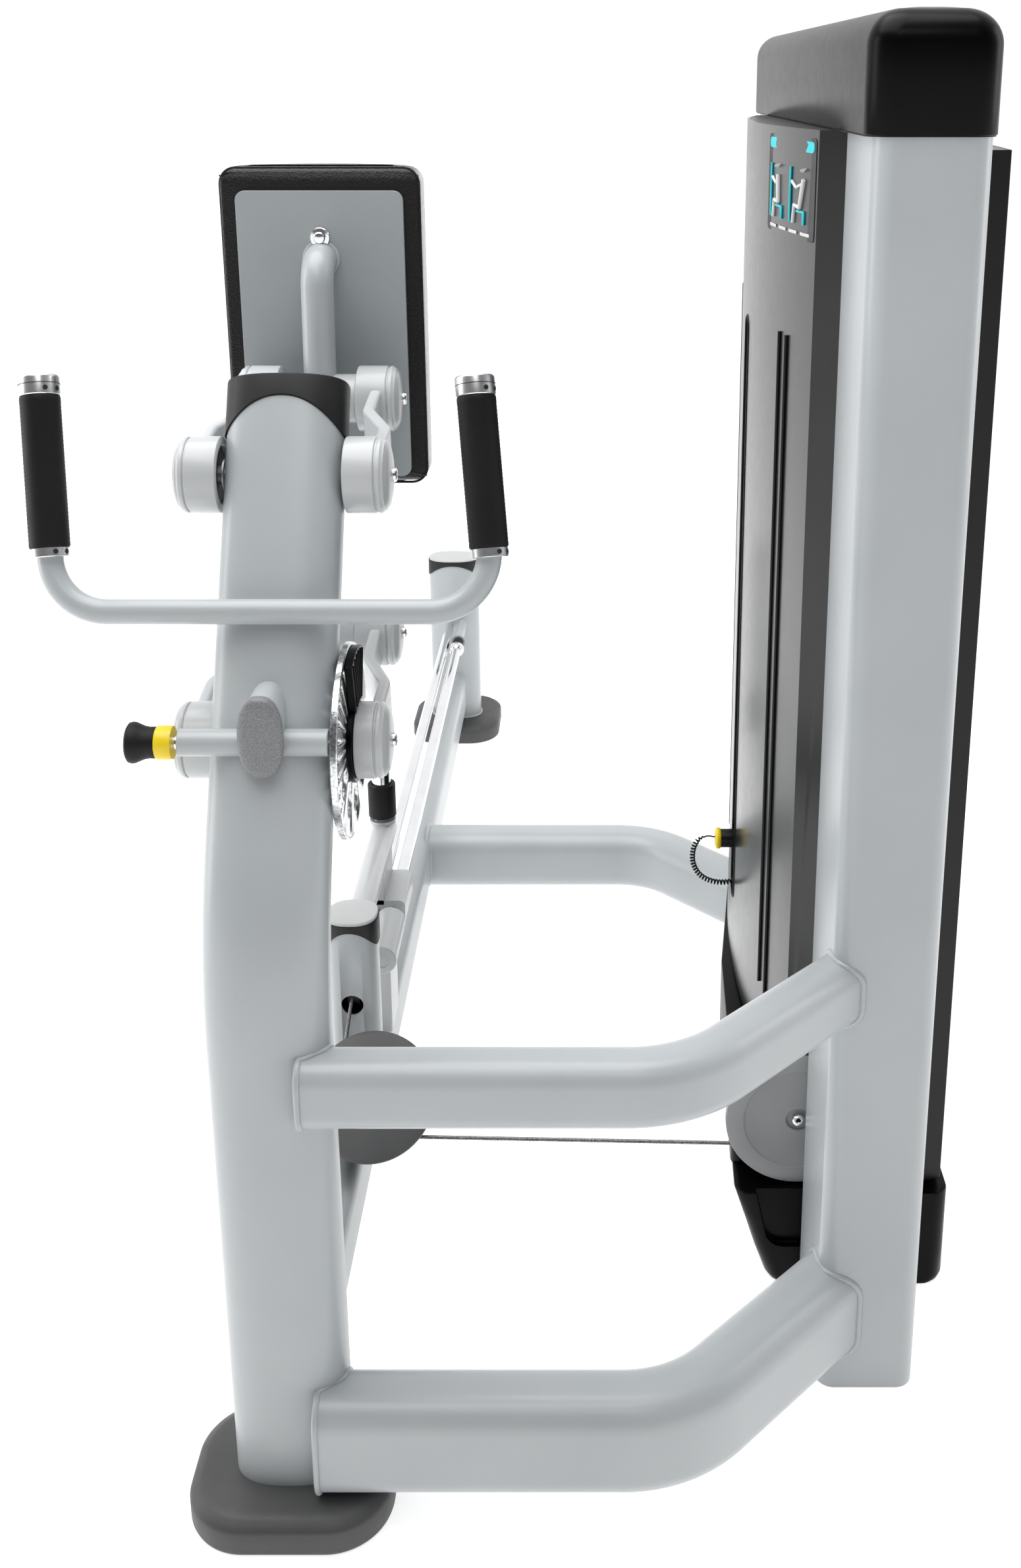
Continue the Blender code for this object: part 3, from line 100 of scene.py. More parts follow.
# Pad arm
UPPER_PIVOT = Vector((FRAME_X, -0.861, 1.118))
LOWER_PIVOT = Vector((FRAME_X, -0.94, 0.842))
LINK = Vector((0, 0.2445, 0.0355))
PIVOT_BODIES = (("upper", UPPER_PIVOT), ("lower", LOWER_PIVOT))
BOSS_RADIUS, FAR_BOSS_RADIUS = 0.0418, 0.0402
BOSS_OUTER, BOSS_INNER, DISC_SIDE_BOSS_INNER = 0.118, 0.067, 0.0795
FAR_BOSS_INNER, FAR_BOSS_OUTER = 0.047, 0.1015
DISC_RADIUS, DISC_FACES = 0.1065, (0.0657, 0.0737)
DISC_HOLE_RING, DISC_HOLE_STEP = 0.0992, radians(11)
PIN_AXIS_Y, PIN_AXIS_Z, HOUSING_FACE_Y, HOUSING_CAP_Z = -1.032, 0.879, -1.052, 0.895
PAD_TUBE_RADIUS = 0.01975
PAD_PLATE, PAD_PLATE_Y, PAD_PLATE_LOW_Z = (0.2046, 0.357, 0.006), -0.564, 1.043
PAD_WIDTH, PAD_EDGE, PAD_CROWN, PAD_Z = 0.245, 0.06, 0.1, (1.032, 1.428)

# Handlebar
BAR_RADIUS, BAR_BEND = 0.01315, 0.06
BAR_CENTRE, BAR_HALF = Vector((-0.266, -0.979, 1.0018)), 0.2273
ARM_DIRECTION = Vector((-0.0889, 0.3344, 0.9385)).normalized()
ARM_LENGTH, GRIP_START, GRIP_LENGTH, GRIP_RADIUS = 0.247, 0.066, 0.159, 0.0207

# Rods and carriage
ROD_RADIUS, ROD_HALF_SPREAD, ROD_Z = 0.01035, 0.0144, 0.282
CARRIAGE_TUBE_X, CARRIAGE_TUBE_Z = -0.2705, 0.383
CARRIAGE_POST_Y = -0.247

# Cable
CABLE_RADIUS, CABLE_LEVEL_Z = 0.0025, 0.346
ROLLER_CENTRE, ROLLER_PATH = Vector((FRONT_POST_X, -0.6101, 0.326)), 0.02
REDIRECT_CENTRE, REDIRECT_PATH, REDIRECT_TILT = Vector((-0.2276, -0.7264, 0.2379)), 0.047, radians(45)
TOWER_SHEAVE_CENTRE, TOWER_SHEAVE_PATH = Vector((0.328, -0.7505, 0.237)), 0.052
TOP_SHEAVE_Z, TOP_SHEAVE_PATH = 1.53, 0.045
TOP_NEAR_Y, TOP_FAR_Y = -0.7055, -0.492
FLOAT_SHEAVE_Z, FLOAT_SHEAVE_PATH = 0.575, 0.04
BEAM_LOW_Z = 1.452


# Camera, light and floor

CAMERA_AT, CAMERA_DIP = (0.0649, -2.522, 1.532), 15.89
LENS, SENSOR, LENS_SHIFT = 36.24, 36, (-0.0538, -0.1639)
SKY_STOPS, SKY_BLUE = ((0.0, 0.12), (0.25, 0.15), (0.5, 0.5), (0.75, 1.05)), 1.01
FLOOR_HALF = 30


def make_camera():
    data = bpy.data.cameras.new("camera")
    data.lens = LENS
    data.sensor_width = SENSOR
    data.shift_x, data.shift_y = LENS_SHIFT
    camera = bpy.data.objects.new("camera", data)
    camera.location = CAMERA_AT
    camera.rotation_euler = (radians(90 - CAMERA_DIP), 0, 0)
    bpy.context.scene.collection.objects.link(camera)
    bpy.context.scene.camera = camera


def area_light(name, location, target, size, power):
    data = bpy.data.lights.new(name, "AREA")
    data.shape = "RECTANGLE"
    data.size, data.size_y = size
    data.energy = power
    light = bpy.data.objects.new(name, data)
    light.location = location
    light.rotation_euler = (Vector(target) - Vector(location)).to_track_quat("-Z", "Y").to_euler()
    bpy.context.scene.collection.objects.link(light)


def colour_ramp(tree, source, stops):
    made = tree.nodes.new("ShaderNodeValToRGB")
    elements = made.color_ramp.elements
    while len(elements) < len(stops):
        elements.new(0.5)
    for element, (at, colour) in zip(elements, stops):
        element.position = at
        element.color = (*colour, 1)
    tree.links.new(source, made.inputs[0])
    return made.outputs[0]


def make_world():
    """A studio: bright above and at the sides, darker behind the camera."""
    world = bpy.data.worlds.new("studio")
    bpy.context.scene.world = world
    world.use_nodes = True
    tree = world.node_tree
    background = tree.nodes["Background"]
    background.inputs["Strength"].default_value = 1.0
    coords = tree.nodes.new("ShaderNodeTexCoord")
    split = tree.nodes.new("ShaderNodeSeparateXYZ")
    tree.links.new(coords.outputs["Generated"], split.inputs[0])
    mapped = tree.nodes.new("ShaderNodeMapRange")
    mapped.inputs["From Min"].default_value = -1
    mapped.inputs["From Max"].default_value = 1
    tree.links.new(split.outputs["Y"], mapped.inputs["Value"])
    stops = [(at, (value, value, value * SKY_BLUE)) for at, value in SKY_STOPS]
    tree.links.new(colour_ramp(tree, mapped.outputs["Result"], stops), background.inputs["Color"])


def make_floor():
    mesh = bpy.data.meshes.new("floor")
    corners = [(x * FLOOR_HALF, y * FLOOR_HALF, 0) for x, y in ((-1, -1), (1, -1), (1, 1), (-1, 1))]
    mesh.from_pydata(corners, [], [(0, 1, 2, 3)])
    floor = bpy.data.objects.new("floor", mesh)
    floor.location = (0, 0, -0.0005)
    bpy.context.scene.collection.objects.link(floor)
    material = bpy.data.materials.new("pale_floor")
    material.use_nodes = True
    shader = material.node_tree.nodes["Principled BSDF"]
    shader.inputs["Base Color"].default_value = (0.7, 0.7, 0.7, 1)
    shader.inputs["Roughness"].default_value = 0.9
    shader.inputs["Emission Color"].default_value = (1, 1, 1, 1)
    shader.inputs["Emission Strength"].default_value = 0.72
    mesh.materials.append(material)


def make_studio():
    bpy.context.scene.view_settings.view_transform = "Standard"
    make_world()
    make_floor()
    area_light("key_top", (-0.6, -0.6, 4.2), (0, 0, 0.5), (3.5, 3.5), 150)
    area_light("left_strip", (-3.4, -0.6, 1.6), (0, -0.3, 0.7), (1.2, 3.0), 36)
    area_light("right_strip", (3.4, -0.2, 1.8), (0, -0.3, 0.7), (1.2, 3.0), 30)
    area_light("front_high", (0.4, -3.6, 4.2), (0.3, -0.9, 1.5), (1.6, 0.8), 14)


# Materials


class Shade:
    """A Principled material under construction."""

    def __init__(self, name, colour, roughness, metallic=0.0, **sockets):
        self.material = bpy.data.materials.new(name)
        self.material.use_nodes = True
        self.tree = self.material.node_tree
        self.shader = self.tree.nodes["Principled BSDF"]
        self.shader.inputs["Base Color"].default_value = (*colour, 1)
        self.shader.inputs["Roughness"].default_value = roughness
        self.shader.inputs["Metallic"].default_value = metallic
        for socket, value in sockets.items():
            self.shader.inputs[socket.replace("_", " ")].default_value = value
        self.coords = self.node("ShaderNodeTexCoord").outputs["Object"]
        self.height = None

    def node(self, kind):
        return self.tree.nodes.new(kind)

    def link(self, source, target):
        self.tree.links.new(source, target)

    def noise(self, scale, detail=3, stretch=None):
        made = self.node("ShaderNodeTexNoise")
        made.inputs["Scale"].default_value = scale
        made.inputs["Detail"].default_value = detail
        self.link(self.stretched(stretch), made.inputs["Vector"])
        return made.outputs["Fac"]

    def cells(self, scale):
        made = self.node("ShaderNodeTexVoronoi")
        made.inputs["Scale"].default_value = scale
        self.link(self.coords, made.inputs["Vector"])
        return made.outputs["Distance"]

    def stretched(self, stretch):
        if stretch is None:
            return self.coords
        mapping = self.node("ShaderNodeMapping")
        mapping.inputs["Scale"].default_value = stretch
        self.link(self.coords, mapping.inputs["Vector"])
        return mapping.outputs["Vector"]

    def tint(self, source, low, high, lower=0.35, upper=0.65):
        """Base colour between two colours by a source from 0 to 1."""
        blended = colour_ramp(self.tree, source, ((lower, low), (upper, high)))
        self.link(blended, self.shader.inputs["Base Color"])
        return self

    def rough(self, source, low, high):
        mapped = self.node("ShaderNodeMapRange")
        mapped.inputs["To Min"].default_value = low
        mapped.inputs["To Max"].default_value = high
        self.link(source, mapped.inputs["Value"])
        self.link(mapped.outputs["Result"], self.shader.inputs["Roughness"])
        return self

    def bump(self, source, strength, distance):
        made = self.node("ShaderNodeBump")
        made.inputs["Strength"].default_value = strength
        made.inputs["Distance"].default_value = distance
        self.link(source, made.inputs["Height"])
        if self.height:
            self.link(self.height, made.inputs["Normal"])
        self.height = made.outputs["Normal"]
        self.link(self.height, self.shader.inputs["Normal"])
        return self


def powder_coat(name, low, high, roughness=(0.3, 0.4)):
    shade = Shade(name, high, roughness[0], Coat_Weight=0.25, Coat_Roughness=0.22)
    shade.tint(shade.noise(6, 4), low, high, 0.3, 0.7)
    shade.rough(shade.noise(40, 3), *roughness)
    shade.bump(shade.noise(700, 2), 0.1, 0.0004)
    return shade.material


def moulded(name, low, high, roughness, grain=900, strength=0.15, gloss=0.5):
    shade = Shade(name, high, roughness[0], Specular_IOR_Level=gloss)
    shade.tint(shade.noise(9, 4), low, high, 0.3, 0.7)
    shade.rough(shade.noise(60, 3), *roughness)
    shade.bump(shade.cells(grain), strength, 0.0003)
    return shade.material


def polished(name, low, high, roughness, stretch=(1, 1, 1)):
    shade = Shade(name, high, roughness[0], 1.0)
    shade.tint(shade.noise(14, 3), low, high, 0.3, 0.7)
    shade.rough(shade.noise(220, 2, stretch), *roughness)
    return shade.material


def make_leather():
    shade = Shade("pebbled_leather", (0.008, 0.008, 0.008), 0.46, Sheen_Weight=1.0, Sheen_Roughness=0.35,
            Specular_IOR_Level=0.25)
    pebbles = shade.cells(420)
    creases = shade.noise(90, 5)
    shade.tint(pebbles, (0.002, 0.002, 0.002), (0.007, 0.007, 0.007), 0.1, 0.6)
    shade.rough(creases, 0.34, 0.5)
    shade.bump(pebbles, 0.55, 0.001)
    shade.bump(creases, 0.25, 0.0012)
    return shade.material


def make_speckled_chrome():
    """The disc's rim, whose milled grain breaks its reflections up."""
    shade = Shade("milled_chrome", (0.72, 0.73, 0.74), 0.16, 1.0)
    shade.tint(shade.noise(260, 4), (0.45, 0.46, 0.47), (0.84, 0.85, 0.86), 0.35, 0.6)
    shade.rough(shade.noise(180, 3), 0.1, 0.32)
    shade.bump(shade.noise(300, 3), 0.25, 0.0006)
    return shade.material


def make_speckled_cap():
    """Grey plastic with a fine speckle."""
    shade = Shade("speckled_cap", (0.3, 0.3, 0.31), 0.42)
    shade.tint(shade.cells(1400), (0.44, 0.45, 0.46), (0.16, 0.165, 0.17), 0.15, 0.45)
    shade.rough(shade.noise(300, 3), 0.34, 0.5)
    shade.bump(shade.cells(1400), 0.25, 0.0004)
    return shade.material


def make_strand():
    """Wire rope: bright wires in a dark lay."""
    shade = Shade("wire_rope", (0.3, 0.3, 0.3), 0.4, 0.9)
    shade.tint(shade.noise(900, 2, (1, 1, 0.4)), (0.07, 0.07, 0.075), (0.34, 0.34, 0.35), 0.35, 0.65)
    shade.bump(shade.noise(900, 2, (1, 1, 0.4)), 0.6, 0.0006)
    return shade.material


def make_materials():
    return {
        "paint": powder_coat("frame_paint", (0.4, 0.426, 0.437), (0.432, 0.457, 0.467)),
        "cast_paint": powder_coat("cast_paint", (0.5, 0.515, 0.523), (0.54, 0.555, 0.563), (0.26, 0.36)),
        "plate_paint": powder_coat("plate_paint", (0.3, 0.325, 0.335), (0.33, 0.355, 0.365), (0.34, 0.44)),
        "cap": moulded("dark_cap", (0.012, 0.012, 0.013), (0.02, 0.02, 0.021), (0.38, 0.52), gloss=0.3),
        "light_cap": moulded("light_cap", (0.5, 0.51, 0.51), (0.56, 0.57, 0.57), (0.35, 0.45), 700, 0.05),
        "foot": moulded("foot_rubber", (0.05, 0.05, 0.051), (0.07, 0.07, 0.071), (0.45, 0.6), 800, 0.3),
        "rubber": moulded("black_rubber", (0.004, 0.004, 0.004), (0.008, 0.008, 0.008), (0.45, 0.6), 1100,
                          0.3, 0.25),
        "gloss": moulded("gloss_black", (0.0008, 0.0008, 0.0008), (0.0018, 0.0018, 0.0018), (0.26, 0.34), 900,
                         0.02, 0.09),
        "satin": moulded("satin_black", (0.004, 0.004, 0.004), (0.008, 0.008, 0.008), (0.26, 0.36), 1000,
                         0.06, 0.24),
        # Dark grey for the redirect cover's dome over its black skirt: partly the cover's colour, partly
        # painted reflection of the light from above.
        "dome": moulded("dome_painted_reflection_grey", (0.1, 0.1, 0.101), (0.125, 0.125, 0.127), (0.4, 0.5), 700, 0.1,
                        0.3),
        "shroud": moulded("shroud_black", (0.006, 0.006, 0.006), (0.011, 0.011, 0.011), (0.2, 0.27), 1000,
                          0.03, 0.6),
        "cover": moulded("cover_grey", (0.3, 0.3, 0.302), (0.35, 0.35, 0.352), (0.36, 0.46), 700, 0.1),
        "chrome": polished("bright_chrome", (0.8, 0.81, 0.82), (0.88, 0.89, 0.9), (0.05, 0.12)),
        "disc_chrome": make_speckled_chrome(),
        "steel": polished("zinc_steel", (0.42, 0.42, 0.43), (0.52, 0.52, 0.53), (0.3, 0.42), (1, 1, 8)),
        "silver": polished("satin_aluminium", (0.74, 0.74, 0.75), (0.82, 0.82, 0.83), (0.24, 0.34),
                           (1, 1, 5)),
        "iron": moulded("painted_iron", (0.02, 0.02, 0.021), (0.034, 0.034, 0.035), (0.45, 0.6), 500,
                        0.25),
        "yellow": moulded("yellow_plastic", (0.8, 0.58, 0.01), (0.88, 0.66, 0.015), (0.3, 0.42), 800, 0.08),
        # Near-black: painted shade in the cap gaps, the end-cap grooves, the socket floors and the front
        # post's inside; also the grip set screws.
        "dark": moulded("painted_shade_and_black", (0.004, 0.004, 0.004), (0.007, 0.007, 0.007), (0.6, 0.75), 800, 0.1),
        "white_ink": moulded("white_ink", (0.62, 0.62, 0.62), (0.7, 0.7, 0.7), (0.5, 0.6), 900, 0.02),
        "cyan_ink": moulded("cyan_ink", (0.02, 0.55, 0.62), (0.03, 0.63, 0.7), (0.5, 0.6), 900, 0.02),
        "speckle": make_speckled_cap(),
        "leather": make_leather(),
        "wire": make_strand(),
    }


MATERIALS = {}
CAD_LOOKS = {
    "frame_paint": "paint", "cap_plastic": "cap", "foot_rubber": "foot", "grip_rubber": "rubber",
    "gloss_plastic": "gloss", "satin_plastic": "satin", "cover_plastic": "cover", "chrome": "chrome",
    "steel": "steel", "plate_iron": "iron", "pad_leather": "leather",
}
BEVELLED = ("resting_plates", "selected_plate", "head_plate", "top_beam", "upper_pivot_shaft",
        "lower_pivot_shaft", "redirect_sheave", "tower_sheave", "top_sheave_near", "top_sheave_far",
        "float_sheave")


# Sections and paths


def mm(*values):
    """Pairs of lengths, given in millimetres: a turned profile's radius and height, or a point."""
    return [(a / 1000, b / 1000) for a, b in zip(values[::2], values[1::2])]


def circle(radius, steps=32):
    return [(radius * cos(2 * pi * i / steps), radius * sin(2 * pi * i / steps)) for i in range(steps)]


def oval(width, depth, steps=72, power=2.5):
    """A superellipse, with its points spread evenly round it."""
    points = []
    for i in range(steps):
        angle = 2 * pi * i / steps
        c, s = cos(angle), sin(angle)
        reach = (abs(c) ** power + abs(s) ** power) ** (-1 / power)
        points.append((c * reach * width / 2, s * reach * depth / 2))
    return points


def rounded_rect(width, height, radius, steps=8):
    points = []
    for quarter, (sx, sy) in enumerate(((1, 1), (-1, 1), (-1, -1), (1, -1))):
        for i in range(steps + 1):
            angle = (quarter + i / steps) * pi / 2
            a = sx * (width / 2 - radius) + radius * cos(angle)
            b = sy * (height / 2 - radius) + radius * sin(angle)
            points.append((a, b))
    return points


def shifted(section, a, b):
    return [(p + a, q + b) for p, q in section]


def rounded_path(corners, radius, steps=16):
    """Straight runs with an arc of this radius at each inner corner."""
    corners = [Vector(c) for c in corners]
    points = [corners[0]]
    for before, corner, after in zip(corners, corners[1:], corners[2:]):
        arrive = (corner - before).normalized()
        leave = (after - corner).normalized()
        turn = arrive.angle(leave)
        start = corner - arrive * radius * tan(turn / 2)
        inward = (leave - arrive * arrive.dot(leave)).normalized()
        for i in range(steps + 1):
            angle = turn * i / steps
            points.append(start + arrive * radius * sin(angle) + inward * radius * (1 - cos(angle)))
    points.append(corners[-1])
    return points


def arc(centre, u, v, radius, start, end, step=6):
    """Points on a circle in the plane of u and v, with its angles in degrees."""
    count = max(2, round(abs(end - start) / step))
    angles = [radians(start + (end - start) * i / count) for i in range(count + 1)]
    return [centre + u * radius * cos(a) + v * radius * sin(a) for a in angles]


# Meshes


def swept_rings(path, side, section):
    side = Vector(side).normalized()
    rings = []
    for i, point in enumerate(path):
        before, after = path[max(i - 1, 0)], path[min(i + 1, len(path) - 1)]
        arrive = (point - before if i else after - point).normalized()
        leave = (after - point if after != point else point - before).normalized()
        along = (arrive + leave).normalized()
        across = along.cross(side) / along.dot(arrive)
        rings.append([point + side * a + across * b for a, b in section])
    return rings


def basis(axis):
    axis = Vector(axis).normalized()
    guide = Z_AXIS if abs(axis.z) < 0.9 else X_AXIS
    u = axis.cross(guide).normalized()
    return axis, u, axis.cross(u)


def turned_rings(profile, centre, axis, steps):
    axis, u, v = basis(axis)
    return [[centre + axis * h + u * a + v * b for a, b in circle(r, steps)] for r, h in profile]


def skin(rings, closed=False, caps=True):
    bm = bmesh.new()
    loops = [[bm.verts.new(p) for p in ring] for ring in rings]
    pairs = list(zip(loops, loops[1:]))
    if closed:
        pairs.append((loops[-1], loops[0]))
    for low, high in pairs:
        for i in range(len(low)):
            j = (i + 1) % len(low)
            bm.faces.new((low[i], low[j], high[j], high[i]))
    if caps and not closed:
        bm.faces.new(list(reversed(loops[0])))
        bm.faces.new(loops[-1])
    bmesh.ops.recalc_face_normals(bm, faces=bm.faces)
    return bm


def place(name, bm, material, sharp=32):
    mesh = bpy.data.meshes.new(name)
    bm.to_mesh(mesh)
    bm.free()
    mesh.shade_smooth()
    mesh.set_sharp_from_angle(angle=radians(sharp))
    mesh.materials.append(MATERIALS[material])
    obj = bpy.data.objects.new(name, mesh)
    bpy.context.scene.collection.objects.link(obj)
    return obj


def solid(name, path, side, section, material):
    return place(name, skin(swept_rings(path, side, section)), material)


def hollow(name, path, side, outer, inner, material):
    rings = swept_rings(path, side, outer) + list(reversed(swept_rings(path, side, inner)))
    return place(name, skin(rings, closed=True), material)


def turned(name, profile, centre, axis, material, steps=48, closed=False):
    return place(name, skin(turned_rings(profile, Vector(centre), axis, steps), closed), material)


def rod(name, start, end, radius, material, steps=32):
    start, end = Vector(start), Vector(end)
    return turned(name, [(radius, 0), (radius, (end - start).length)], start, end - start, material, steps)


def prism(name, outline, axis, low, high, material):
    spread = {"X": lambda a, b, h: (h, a, b), "Y": lambda a, b, h: (a, h, b), "Z": lambda a, b,
            h: (a, b, h)}[axis]
    return place(name, skin([[Vector(spread(a, b, h)) for a, b in outline] for h in (low, high)]), material)


def box(name, low, high, material):
    outline = [(low[0], low[1]), (high[0], low[1]), (high[0], high[1]), (low[0], high[1])]
    return prism(name, outline, "Z", low[2], high[2], material)


def cut(target, *tools):
    """Takes each tool's shape away and removes the tool."""
    for tool in tools:
        modifier = target.modifiers.new("cut", "BOOLEAN")
        modifier.operation = "DIFFERENCE"
        modifier.object = tool
        apply_modifiers(target)
        bpy.data.objects.remove(tool)
    return target


def apply_modifiers(obj):
    graph = bpy.context.evaluated_depsgraph_get()
    mesh = bpy.data.meshes.new_from_object(obj.evaluated_get(graph))
    old = obj.data
    obj.modifiers.clear()
    obj.data = mesh
    bpy.data.meshes.remove(old)
    mesh.name = obj.name


def soften(obj, width=0.001, segments=2, angle=35):
    """Rounds the sharp edges, with the flat faces kept flat."""
    bevel = obj.modifiers.new("bevel", "BEVEL")
    bevel.width = width
    bevel.segments = segments
    bevel.limit_method = "ANGLE"
    bevel.angle_limit = radians(angle)
    bevel.harden_normals = True
    return obj


def give(obj, body, slot, *nodes):
    """The piece rides on a body and stands for these CAD nodes. The slot is not used."""
    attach(obj, body)
    if nodes:
        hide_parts(*nodes)
    return obj


def fix(obj, slot, *nodes):
    """The piece stays on the frame."""
    return give(obj, "frame", slot, *nodes)


# Shared shapes


def line(name, points, radius, material, cyclic=False, resolution=3):
    """A round bead or wire along the points."""
    curve = bpy.data.curves.new(name, "CURVE")
    curve.dimensions = "3D"
    curve.bevel_depth = radius
    curve.bevel_resolution = resolution
    curve.use_fill_caps = True
    row = curve.splines.new("POLY")
    row.points.add(len(points) - 1)
    for target, point in zip(row.points, points):
        target.co = (*point, 1)
    row.use_cyclic_u = cyclic
    row.use_smooth = True
    curve.materials.append(MATERIALS[material])
    obj = bpy.data.objects.new(name, curve)
    bpy.context.scene.collection.objects.link(obj)
    return obj


def spline(points, per_span):
    """A Catmull-Rom curve through the points."""
    result = []
    padded = [points[0] * 2 - points[1]] + list(points) + [points[-1] * 2 - points[-2]]
    for a, b, c, d in zip(padded, padded[1:], padded[2:], padded[3:]):
        for i in range(per_span):
            t = i / per_span
            result.append(0.5 * (2 * b + (c - a) * t + (2 * a - 5 * b + 4 * c - d) * t ** 2
                                 + (3 * b - a - 3 * c + d) * t ** 3))
    return result + [points[-1]]


def scaled(section, factor):
    return [(a * factor, b * factor) for a, b in section]


def socket_screw(name, face, axis, radius, body, slot="steel", material="chrome"):
    """A domed screw head with a hexagon socket."""
    profile = [(radius * 0.2, -0.001), (radius * 0.94, -0.001), (radius, 0.0006), (radius, 0.0026),
            (radius * 0.92, 0.004), (radius * 0.66, 0.0049), (radius * 0.52, 0.005)]
    head = turned(name, profile, face, axis, material, 40)
    socket = turned(name + "_socket", [(radius * 0.46, 0.002), (radius * 0.46, 0.006)], face, axis,
            material, 6)
    give(cut(head, socket), body, slot)
    # A dark disc on the socket's floor: painted shade in the hole.
    floor = turned(name + "_floor", [(radius * 0.5, 0.0018), (radius * 0.5, 0.0024)], face, axis, "dark",
            12)
    give(floor, body, slot)


# Frame


def column_path(base=COLUMN_BASE_Z, top=COLUMN_TOP_Z):
    lean = (top - COLUMN_KNEE_Z) * tan(COLUMN_LEAN)
    corners = [(FRAME_X, COLUMN_Y, base), (FRAME_X, COLUMN_Y, COLUMN_KNEE_Z), (FRAME_X, COLUMN_Y + lean, top)]
    return rounded_path(corners, 0.4, 20)


def build_column():
    inner = oval(COLUMN_WIDTH - 2 * WALL, COLUMN_DEPTH - 2 * WALL)
    column = hollow("main_column_tube", column_path(), X_AXIS, oval(COLUMN_WIDTH, COLUMN_DEPTH), inner,
            "paint")
    fix(column, "frame_paint", "main_column")
    half = X_AXIS * 0.064
    fix(soften(rod("lower_pivot_tube", LOWER_PIVOT - half, LOWER_PIVOT + half, 0.028, "paint", 48)),
            "frame_paint")
    for label, pivot in PIVOT_BODIES:
        for side in (-1, 1):
            washer = rod("pivot_washer_%s_%d" % (label, side + 1), pivot + X_AXIS * side * 0.063,
                    pivot + X_AXIS * side * 0.0655, 0.018, "steel")
            fix(soften(washer, 0.0005), "steel")


def saddle_band(name, base, up, size, edge, top, material, thickness=0.0019):
    """A cap over a tube's end, whose lower edge follows edge(a, b) measured up from the base point."""
    front = up.cross(X_AXIS)
    outer = oval(size[0] + 2 * thickness, size[1] + 2 * thickness, 96)
    inner = oval(size[0] + 0.0004, size[1] + 0.0004, 96)

    def ring(section, rise):
        return [base + X_AXIS * a + front * b + up * (rise(a, b) if callable(rise) else rise) for a,
                b in section]

    rings = [ring(inner, edge), ring(outer, edge), ring(outer, top - 0.0025),
            ring(scaled(outer, 0.992), top - 0.0008)]
    rings += [ring(scaled(outer, k), top + h) for k,
            h in ((0.97, 0), (0.9, 0.0004), (0.6, 0.001), (0.3, 0.0012), (0.02, 0.0013))]
    return place(name, skin(rings), material)


def build_column_cap():
    up = Vector((0, sin(COLUMN_LEAN), cos(COLUMN_LEAN)))
    top = column_path()[-1]
    half = COLUMN_WIDTH / 2

    def edge(a, b):
        return -0.0125 - 0.0385 * min(abs(a) / half, 1) ** 2.1

    cap = saddle_band("column_cap_cover", top, up, (COLUMN_WIDTH, COLUMN_DEPTH), edge, 0.0112, "cap")
    fix(cap, "cap_plastic", "column_cap")
    front = up.cross(X_AXIS)
    # A dark line just under the cap's edge: painted shade in the gap.
    section = oval(COLUMN_WIDTH + 0.0006, COLUMN_DEPTH + 0.0006, 96)
    seam = [top + X_AXIS * a + front * b + up * (edge(a, b) - 0.0005) for a, b in section]
    fix(line("column_cap_gap_shade", seam, 0.0009, "dark", True), "cap_plastic")


def build_post_cap(name, node, x, y, size, top_z):
    """A dark saddle band under a light oval lid."""
    base = Vector((x, y, top_z))
    half = size[0] / 2

    def edge(a, b):
        return -0.003 - 0.027 * min(abs(a) / half, 1) ** 2.3

    band = saddle_band(name + "_band", base, Z_AXIS, size, edge, 0.007, "cap")
    fix(band, "cap_plastic", node)
    rings = []
    for factor, z in ((0.97, 0.0066), (0.965, 0.0092), (0.93, 0.0106), (0.8, 0.0114), (0.5, 0.0118),
            (0.02, 0.012)):
        section = scaled(oval(size[0] + 0.003, size[1] + 0.003, 96), factor)
        rings.append([base + Vector((a, b, z)) for a, b in section])
    fix(place(name + "_lid", skin(rings), "light_cap"), "cap_plastic")


def build_foot(name, node, size, centre_y):
    rings = []
    for z, inset in ((0, 0.003), (0.0015, 0.0012), (0.005, 0), (0.0275, 0), (0.0305, 0.0008),
            (0.0335, 0.003), (0.0358, 0.0065), (0.0385, 0.01), (0.04, 0.0135), (FOOT_HEIGHT, 0.02)):
        section = rounded_rect(size[0] - 2 * inset, size[1] - 2 * inset, 0.068 - inset * 0.8, 20)
        rings.append([Vector((FRAME_X + a, centre_y + b, z)) for a, b in section])
    fix(place(name, skin(rings), "foot"), "foot_rubber", node)


def collar(name, centre, size, rise, width=0.0032):
    """A small painted weld bead round an oval tube."""
    section = oval(size[0] + 0.001, size[1] + 0.001, 96)
    points = [centre + Vector((a, b, rise)) for a, b in section]
    fix(line(name, points, width, "paint", True), "frame_paint")


